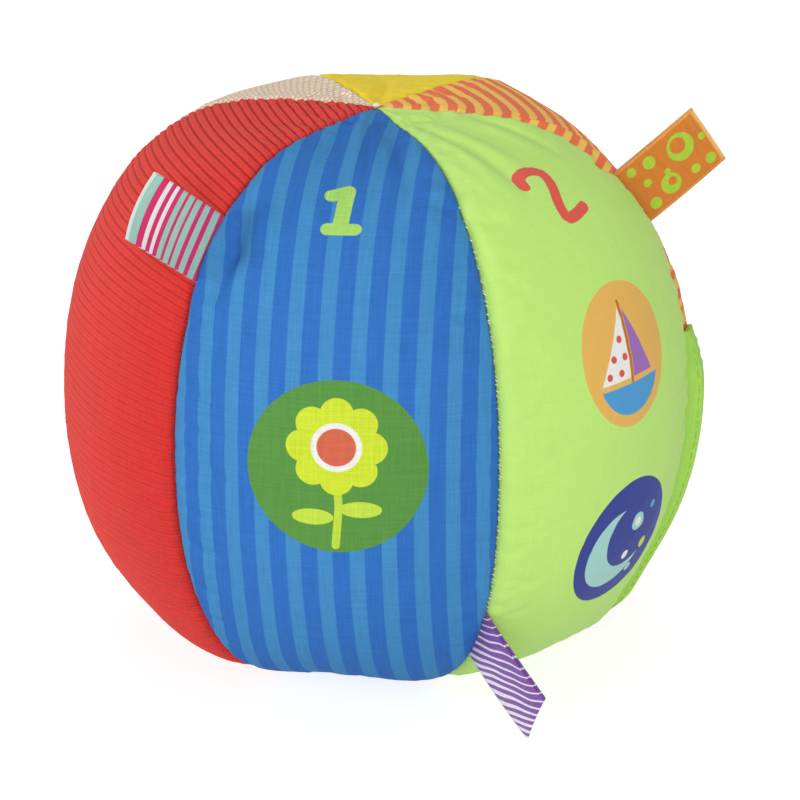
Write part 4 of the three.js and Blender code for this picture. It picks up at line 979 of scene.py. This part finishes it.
def seam_stitches(seam, depth):
    """Stitches of one seam: each crosses the seam at a slant, rising in its middle and dipping into the
    cloth. They are drawn in unevenly, and deeper near the top pole."""
    last = np.interp(STITCH_LAST, meridian_angles, meridian_lengths)
    length = np.arange(STITCH_FIRST, last, STITCH_PITCH)
    angle = angle_at(length)
    if seam == WANDER_SEAM:
        keep = (angle < CLOSURE_TOP) | (angle > CLOSURE_END)
        length, angle = length[keep], angle[keep]
    part = np.linspace(-1.0, 1.0, 5)[None, :]
    uneven = np.random.default_rng(60 + seam)
    drift = uneven.uniform(-STITCH_DRIFT, STITCH_DRIFT, (len(length), 1))
    slanted = angle_at(length[:, None] + drift + STITCH_SLANT * part)
    azimuth = seam_at(seam, slanted) + STITCH_REACH * part / ring_radius(slanted)
    sink = uneven.uniform(0.0, STITCH_SINK, (len(length), 1))
    sink = sink + np.interp(length[:, None], STITCH_TOP, (STITCH_TOP_SINK, 0.0))
    paths = cover_place(slanted, azimuth, depth + sink + STITCH_DIP * part ** 2)
    return threads(paths, outward_at(paths[:, 2]), STITCH_RADIUS)


def thread_finish(name, dark, light):
    """Twisted thread: a fine uneven shade from dark to light, which also lifts its ply."""
    material, shader, where = start_finish(name)
    ply = cloudy(where, 5200.0, 2.0)
    fill_in(shader, {"Base Color": over(ply, dark, light), "Roughness": 0.7, "Sheen Weight": 0.2})
    add_bump(shader, ply, 3e-5)
    return material


pale_thread = thread_finish("thread_pale", srgb(214, 212, 204), srgb(250, 249, 246))
navy_thread = thread_finish("thread_navy", srgb(24, 30, 58), srgb(46, 56, 96))
pale_seams = [seam_stitches(1, SHOWN_DEPTH)] + [seam_stitches(k, HIDDEN_DEPTH) for k in (2, 3, 4, 5)]
for name, parts, material in (("seam_thread_pale", pale_seams, pale_thread),
                              ("seam_thread_navy", [seam_stitches(0, STITCH_DEPTH)], navy_thread)):
    finish_piece(show(name, sewn_mesh(name, *parts)), material, "ball", None)


# Pole tacks: where the six tips meet, a few turns of the same thread cross the pole and are drawn tight,
# one tack on top and one underneath, where the ball rests.
TACK_REACH = 0.0009
TACK_THREAD = 0.00017
TACK_RISE = 0.0005
TACK_LAYER = 0.00004


def pole_tack(name, node, height, upward):
    """Threads across the pole at even turns, each a low arch from one side of the tack to the other."""
    turn = np.linspace(0.0, math.pi, 6, endpoint=False)[:, None]
    part = np.linspace(-1.0, 1.0, 9)[None, :]
    level = height + upward * (TACK_RISE * (1.0 - part ** 2) + TACK_LAYER * np.arange(6)[:, None])
    paths = np.stack([TACK_REACH * part * np.cos(turn), TACK_REACH * part * np.sin(turn), level], axis=-1)
    tack = show(name, sewn_mesh(name, threads(paths, np.tile([0.0, 0.0, upward], (6, 1)), TACK_THREAD)))
    finish_piece(tack, pale_thread, "ball", node)


top_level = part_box("pole_tack_top")[1].z
pole_tack("tack_top", "pole_tack_top", top_level - TACK_RISE, 1.0)
pole_tack("tack_bottom", "pole_tack_bottom", TACK_RISE + 2.0 * TACK_THREAD, -1.0)


# Closure tapes: woven nylon strips that hold the closure shut, loops sewn on the orange gore and hooks under
# the flap. Each is a thin woven base with rows of loops or bent hooks standing on it.
FLAP_WIDTH = 0.0125
FLAP_THICKNESS = 0.0012
FLAP_LOW = 0.0003
FLAP_ROOT = 0.0019
FLAP_ROOT_REACH = 0.0009
FLAP_LIFT = 0.0025
TAPE_WIDTH = 0.0066
TAPE_INSET = 0.0036
TAPE_END = math.radians(12.0)
TAPE_BASE = 0.0004
LOOP_LEVEL = 0.0003
HOOK_LEVEL = 0.0022
PILE_ROWS = 74
PILE_COLUMNS = 7
PILE_RADIUS = 0.00009
PILE_SINK = 0.00008


def crest(angle, reach, height):
    """Point over the closure's seam, as if the seam had no valley; reach is round the ball from the seam."""
    return cover_place(angle, reach / ring_radius(angle), -height, 0.0)


def tape(name, node, level, pile_way, pile, material, body):
    """Woven strip with its pile: a base grid between two levels, then a short bent thread at each pile
    place."""
    angle = np.linspace(CLOSURE_TOP + TAPE_END, CLOSURE_END - TAPE_END, 60)[:, None]
    reach = TAPE_INSET + TAPE_WIDTH * np.linspace(0.0, 1.0, 9)[None, :]
    far = level + pile_way * TAPE_BASE
    base = slab(crest(angle, reach, max(level, far)), crest(angle, reach, min(level, far)))
    row = np.repeat(np.linspace(0.02, 0.98, PILE_ROWS), PILE_COLUMNS)[:, None]
    column = np.tile(np.linspace(0.08, 0.92, PILE_COLUMNS), PILE_ROWS)[:, None]
    foot_angle = CLOSURE_TOP + TAPE_END + (CLOSURE_END - CLOSURE_TOP - 2.0 * TAPE_END) * row
    foot_reach = TAPE_INSET + TAPE_WIDTH * column
    shift, rise = pile
    paths = crest(foot_angle, foot_reach + shift[None, :], far + pile_way * (rise[None, :] - PILE_SINK))
    sideways = unit(np.cross(outward_at(paths[:, 0]), paths[:, -1] - paths[:, 0]))
    strip = show(name, sewn_mesh(name, base, threads(paths, sideways, PILE_RADIUS)))
    finish_piece(strip, material, body, node)


LOOP_HALF_WIDTH = 0.0004
LOOP_HEIGHT = 0.00042
HOOK_STEM = 0.00024
HOOK_RADIUS = 0.00018
loop_bend = np.linspace(0.0, math.pi, 7)
loop_shape = (-LOOP_HALF_WIDTH * np.cos(loop_bend), LOOP_HEIGHT * np.sin(loop_bend))
hook_bend = np.linspace(0.0, 1.25 * math.pi, 7)
hook_rise = np.where(hook_bend < 0.1, 0.0, HOOK_STEM + HOOK_RADIUS * np.sin(hook_bend))
hook_shape = (HOOK_RADIUS * (1.0 - np.cos(hook_bend)), hook_rise)
loop_nylon = two_tone_weave("loop_nylon", srgb(150, 196, 88), srgb(190, 224, 128), 2.4, 0.5, 6e-5)
hook_nylon = two_tone_weave("hook_nylon", srgb(172, 210, 116), srgb(208, 232, 158), 2.4, 0.5, 6e-5)
tape("loop_strip", "loop_tape", LOOP_LEVEL, 1.0, loop_shape, loop_nylon, "ball")
tape("hook_strip", "hook_tape", HOOK_LEVEL, -1.0, hook_shape, hook_nylon, "closure_flap")


# Closure flap: a doubled strip of the green satin, sewn into the green and orange seam, turned over the
# tapes and topstitched along both edges. Its hem is slightly gathered, and its sewn edge stays on the ball.
GATHER_LENGTHS = (0.0091, 0.0126, 0.0073)
HEM_GATHER = 0.00035
HEM_WAVE = 0.00016
HEM_DROP = 0.7


def smooth_step(low, high, value):
    """Rises from 0 to 1 between low and high without a corner."""
    part = np.clip((value - low) / (high - low), 0.0, 1.0)
    return part * part * (3.0 - 2.0 * part)


def flap_place(angle, across, above):
    """Point of the flap: across is 0 at the sewn edge and 1 at the hem. It starts down in the seam, lies low
    at its ends, rises over the tapes, drops again at the hem, is thinner at its edges and waves along the
    hem."""
    end_to_end = 2.0 * (angle - CLOSURE_TOP) / (CLOSURE_END - CLOSURE_TOP) - 1.0
    gather = waves((angle * BALL_RADIUS)[..., None], GATHER_LENGTHS, 51)
    full = np.sqrt(np.maximum(1.0 - np.abs(end_to_end) ** 8, 0.0))
    width = FLAP_WIDTH * (0.35 + 0.65 * full) + HEM_GATHER * gather * full
    reach = width * across
    ends = smooth_step(0.0, TAPE_END, angle - CLOSURE_TOP) * smooth_step(0.0, TAPE_END, CLOSURE_END - angle)
    lift = ends * smooth_step(0.0005, TAPE_INSET - 0.0006, reach)
    lift = lift * (1.0 - HEM_DROP * smooth_step(TAPE_INSET + TAPE_WIDTH, FLAP_WIDTH, reach))
    body = 0.3 + 0.7 * np.sqrt(np.maximum(1.0 - np.abs(2.0 * across - 1.0) ** 5, 0.0))
    wave = HEM_WAVE * gather * across ** 2 * ends
    root = FLAP_ROOT * np.exp(-reach / FLAP_ROOT_REACH)
    level = FLAP_LOW + (FLAP_LIFT - FLAP_LOW) * lift + wave - root
    return crest(angle, reach, level + FLAP_THICKNESS * body * above)


flap_angle = np.linspace(CLOSURE_TOP, CLOSURE_END, 170)[:, None]
flap_across = (0.5 - 0.5 * np.cos(np.linspace(0.0, math.pi, 40)))[None, :]
flap_top = flap_place(flap_angle, flap_across, 1.0)
flap_under = flap_place(flap_angle, flap_across, 0.0)
flap_mesh = sewn_mesh("flap", slab(flap_top, flap_under))
flap_length = np.interp(flap_angle, meridian_angles, meridian_lengths)
lay_out(flap_mesh, FLAP_WIDTH * flap_across + 0.0 * flap_angle, flap_length + 0.0 * flap_across)
flap = show("flap", flap_mesh)
flap_cloth, shader, flat = cloth_finish("flap_satin", 0.6, 0.03)
weave_in(shader, flat, 3.2, srgb(176, 227, 96), 0.93, 1.05, 5e-5)
flap.data.materials.append(flap_cloth)

TOPSTITCH_LINES = (0.16, 0.84)
TOPSTITCH_ENDS = 0.06
TOPSTITCH_PITCH = 0.037
TOPSTITCH_LENGTH = 0.028
TOPSTITCH_RADIUS = 0.00016
TOPSTITCH_LIFT = 0.00002
TOPSTITCH_DIP = 0.00022
flap_rows = []
for line in TOPSTITCH_LINES:
    start = np.arange(CLOSURE_TOP + TOPSTITCH_ENDS, CLOSURE_END - TOPSTITCH_ENDS, TOPSTITCH_PITCH)[:, None]
    part = np.linspace(0.0, 1.0, 5)[None, :]
    paths = flap_place(start + TOPSTITCH_LENGTH * part, np.full((1, 1), line), 1.0)
    outward = outward_at(paths[:, 2])
    lift = (TOPSTITCH_LIFT - TOPSTITCH_DIP * np.abs(2.0 * part - 1.0) ** 4)[..., None]
    flap_rows.append(threads(paths + lift * outward[:, None, :], outward, TOPSTITCH_RADIUS))
topstitch = show("flap_topstitch", sewn_mesh("flap_topstitch", *flap_rows))
topstitch.data.materials.append(thread_finish("thread_green", srgb(126, 182, 62), srgb(164, 216, 96)))
for piece in (flap, topstitch):
    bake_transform(piece)
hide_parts("closure_flap")


# Ribbon tags: woven satin ribbon folded in half, its two ends caught in a seam, so that it stands out as a
# flat loop. The plies lie a little apart, and the loop bends slightly, as handled ribbon does.
RIBBON_WIDTH = 0.016
RIBBON_THICKNESS = 0.00034
PLY_APART = 0.00024
PLY_BELLY = 0.00012
TAG_TUCK = 0.0036
TAG_FOOT = 0.0015
FOLD_RADIUS = 0.0006
SELVEDGE_SWELL = 0.35
SELVEDGE_SHARE = 0.03


def ribbon_tag(colour, down, seam, lean, length, bow, cup, material):
    """Folded ribbon: a path up one ply, round the fold and down the other, carried across the ribbon's
    width. Across is the seam's direction, at an angle down from the top pole; up leans from straight out of
    the ball towards the next gore; bow curls the loop along its length, and cup across its width."""
    name, node = "ribbon_" + colour, "tag_" + colour
    angle, lean = math.radians(down), math.radians(lean)
    near = angle + np.array([0.0, 0.1, -0.1])
    foot, ahead, behind = cover_place(near, seam_at(seam, near), 0.0)
    along = unit(ahead - behind)
    azimuth = seam_at(seam, angle)
    out = unit(np.cross(along, [-math.sin(azimuth), math.cos(azimuth), 0.0]))
    up = out * math.cos(lean) + np.cross(out, along) * math.sin(lean)
    thick = np.cross(up, along)
    origin = foot + out * TAG_FOOT
    straight = length - FOLD_RADIUS
    rise = np.concatenate([np.linspace(-TAG_TUCK, straight, 40), np.full(9, straight)])
    belly = PLY_APART + PLY_BELLY * np.sin(math.pi * np.clip(rise / length, 0.0, 1.0)) ** 0.8
    turn = np.linspace(0.0, 0.5 * math.pi, 10)[1:]
    rise[40:] += FOLD_RADIUS * np.sin(turn)
    belly[40:] = belly[39] * np.cos(turn)
    rise = np.concatenate([rise, rise[-2::-1]])
    aside = np.concatenate([belly, -belly[-2::-1]])
    path = np.stack([aside + bow * np.clip(rise / length, 0.0, 1.0) ** 2, rise], axis=-1)
    ahead = unit(np.gradient(path, axis=0))
    normal = np.stack([ahead[:, 1], -ahead[:, 0]], axis=-1)
    wide = np.linspace(-0.5, 0.5, 25)[None, :]
    selvedge = 1.0 + SELVEDGE_SWELL * bell(np.abs(wide), 0.5, SELVEDGE_SHARE)
    curl = cup * np.clip(rise / length, 0.0, 1.0)[:, None] * (4.0 * wide ** 2 - 0.4)

    def face(way):
        """One face of the ribbon: the path moved half a thickness along its normal, more at its edges."""
        offset = (0.5 * way * RIBBON_THICKNESS * selvedge)[..., None] * normal[:, None, :]
        flat = path[:, None, :] + offset
        return (origin + (flat[..., :1] + curl[..., None]) * thick + flat[..., 1:] * up
                + (RIBBON_WIDTH * wide[..., None]) * along)

    mesh = sewn_mesh(name, slab(face(1.0), face(-1.0)))
    lay_out(mesh, RIBBON_WIDTH * wide + 0.0 * rise[:, None], rise[:, None] + 0.0 * wide)
    tag = show(name, mesh)
    tag.data.materials.append(material)
    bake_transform(tag)
    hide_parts(node)


def satin_finish(name):
    """Satin ribbon: cloth with fine ribs across its length as bump, and the tone of its threads."""
    material, shader, flat = cloth_finish(name, 0.36, 0.25)
    add_bump(shader, humps(reckon("DIVIDE", axes(flat)[1], 0.32)), 2.5e-5)
    tone = rescale(cloudy(flat, 0.9, 3.0, (0.2, 1.0, 1.0)), 0.3, 0.7, 0.0, 1.0)
    return material, shader, flat, tone


# Pink tag: woven ribbon in stripes of pink, mint and white that cross its width, wider near the fold.
# It is folded in half and caught in the red and blue seam, and leans towards the red gore.
pink_satin, shader, flat, tone = satin_finish("ribbon_pink")
PINK_LENGTH = 0.022
PINK_REPEAT = 26.0
PINK, MINT, WHITE = srgb(222, 48, 108), srgb(164, 206, 190), srgb(240, 236, 234)
# Painted highlight: the first 0.4 mm from the fold is a paler mint, for light on the bend.
MINT_FOLD_HIGHLIGHT = srgb(206, 225, 215)
pink_bands = (
    (0.0, MINT_FOLD_HIGHLIGHT), (0.4, MINT), (2.5, PINK), (4.2, WHITE), (5.4, PINK), (6.7, WHITE), (7.7, PINK),
    (8.9, MINT), (10.3, PINK), (11.1, MINT), (12.7, PINK), (13.5, MINT), (15.2, PINK), (16.4, MINT),
    (18.1, PINK), (19.6, MINT), (21.6, PINK), (23.2, MINT), (24.6, PINK),
)
from_fold = reckon("SUBTRACT", PINK_LENGTH * 1000.0, axes(flat)[1])
stripe = add_node("ValToRGB", {"Fac": reckon("DIVIDE", from_fold, PINK_REPEAT)})
stripe.color_ramp.interpolation = "CONSTANT"
stops = stripe.color_ramp.elements
for number, (position, colour) in enumerate(pink_bands):
    place = position / PINK_REPEAT
    stop = stops[number] if number < 2 else stops.new(place)
    stop.position = place
    stop.color = colour
fill_in(shader, {"Base Color": shade(stripe.outputs["Color"], tone, 0.92, 1.04)})
ribbon_tag("pink", 47.6, 0, -8.0, PINK_LENGTH, -0.0012, 0.0014, pink_satin)

# Orange tag: printed satin ribbon, lime dots and rings of several sizes on orange, with paler edges.
# It is folded in half and caught in the green and orange seam near the top.
orange_satin, shader, flat, tone = satin_finish("ribbon_orange")
across, along, _ = axes(flat)
tag_orange = srgb(212, 124, 44)
# Painted highlight: the orange turns pale amber towards the fold, for the sheen on its bend.
ink = over(rescale(along, 21.6, 22.4, 0.0, 1.0), tag_orange, srgb(240, 184, 96))
edges = rescale(reckon("ABSOLUTE", across), 7.3, 7.6, 0.0, 1.0)
ink = over(edges, ink, srgb(228, 152, 66))
for dot in ((-2.6, 15.4, 3.5), (3.4, 8.8, 2.6), (-4.6, 7.2, 1.6), (4.6, 15.6, 1.2), (0.3, 9.6, 0.8),
            (5.0, 20.0, 1.4), (-1.2, 21.0, 0.9), (-0.6, 4.2, 1.0), (5.0, 3.2, 1.5), (-5.4, 2.4, 1.2)):
    ink = print_spots(flat, ink, (*dot, srgb(172, 202, 58)))
ink = print_spots(flat, ink, (-3.3, 15.0, 2.0, tag_orange), (3.1, 9.4, 1.1, tag_orange))
fill_in(shader, {"Base Color": shade(ink, tone, 0.92, 1.06)})
ribbon_tag("orange", 50.2, WANDER_SEAM, 14.5, 0.0228, 0.0008, 0.0004,
           orange_satin)

# Purple tag: printed satin ribbon, white stripes that waver and taper across it at a slant.
# It is folded in half and caught low in the blue and green seam, near the floor.
purple_satin, shader, flat, tone = satin_finish("ribbon_purple")
across, along, _ = axes(flat)
waver = reckon("MULTIPLY", cloudy(flat, 0.11, 0.0), 3.0)
slant = reckon("ADD", reckon("MULTIPLY_ADD", across, 1.15, along), waver)
taper = rescale(across, -8.0, 8.0, 0.45, 1.5)
ink = over(bands(slant, 0.0, 2.75, taper), srgb(126, 76, 160), srgb(240, 232, 242))
fill_in(shader, {"Base Color": shade(ink, tone, 0.92, 1.04)})
ribbon_tag("purple", 126.6, 1, 10.3, 0.0228, 0.0008, 0.0004, purple_satin)


# Floor and light: a plain white floor that keeps the ball's soft shadow, and soft studio light from the
# front, so that each colour shows about as it is written.
def seen_rays(tree):
    """1 for rays by which the background is seen: straight, mirrored or through glass; else 0."""
    path = add_node("LightPath", {}, tree).outputs
    mirrored = reckon("MAXIMUM", path["Is Glossy Ray"], path["Is Transmission Ray"])
    return reckon("MAXIMUM", path["Is Camera Ray"], mirrored)


FLOOR_REACH = 4.0
floor = show("floor", bpy.data.meshes.new("floor"))
floor_corners = [(FLOOR_REACH * x, FLOOR_REACH * y, 0.0) for x, y in ((-1, -1), (1, -1), (1, 1), (-1, 1))]
floor.data.from_pydata(floor_corners, [], [(0, 1, 2, 3)])
floor_white, shader, _ = start_finish("floor_white")
fill_in(shader, {
    "Base Color": (0.45, 0.45, 0.45, 1.0), "Roughness": 1.0, "Specular IOR Level": 0.0,
    "Emission Color": (1.0, 1.0, 1.0, 1.0),
    "Emission Strength": rescale(seen_rays(shader.id_data), 0.0, 1.0, 0.31, 0.78),
})
floor.data.materials.append(floor_white)

scene.world = bpy.data.worlds.new("studio")
scene.world.use_nodes = True
sky = scene.world.node_tree
fill_in(sky.nodes["Background"], {
    "Color": (1.0, 1.0, 1.0, 1.0), "Strength": rescale(seen_rays(sky), 0.0, 1.0, 0.33, 1.0),
})


def soft_box(name, place, power, size):
    """Square area lamp at a place in metres, turned to the ball."""
    lamp = bpy.data.lights.new(name, "AREA")
    lamp.energy = power
    lamp.size = size
    holder = bpy.data.objects.new(name, lamp)
    scene.collection.objects.link(holder)
    holder.location = place
    holder.rotation_euler = (BALL_CENTRE - Vector(place)).to_track_quat("-Z", "Y").to_euler()


soft_box("left", (-1.35, -0.7, 0.5), 7.5, 0.4)
soft_box("front", (-0.1, -1.5, 0.6), 8.5, 0.7)
soft_box("right", (1.0, -1.15, 0.5), 6.5, 0.7)
soft_box("rear", (-0.1, 0.5, 1.5), 5.5, 1.0)
scene.view_settings.view_transform = "Standard"
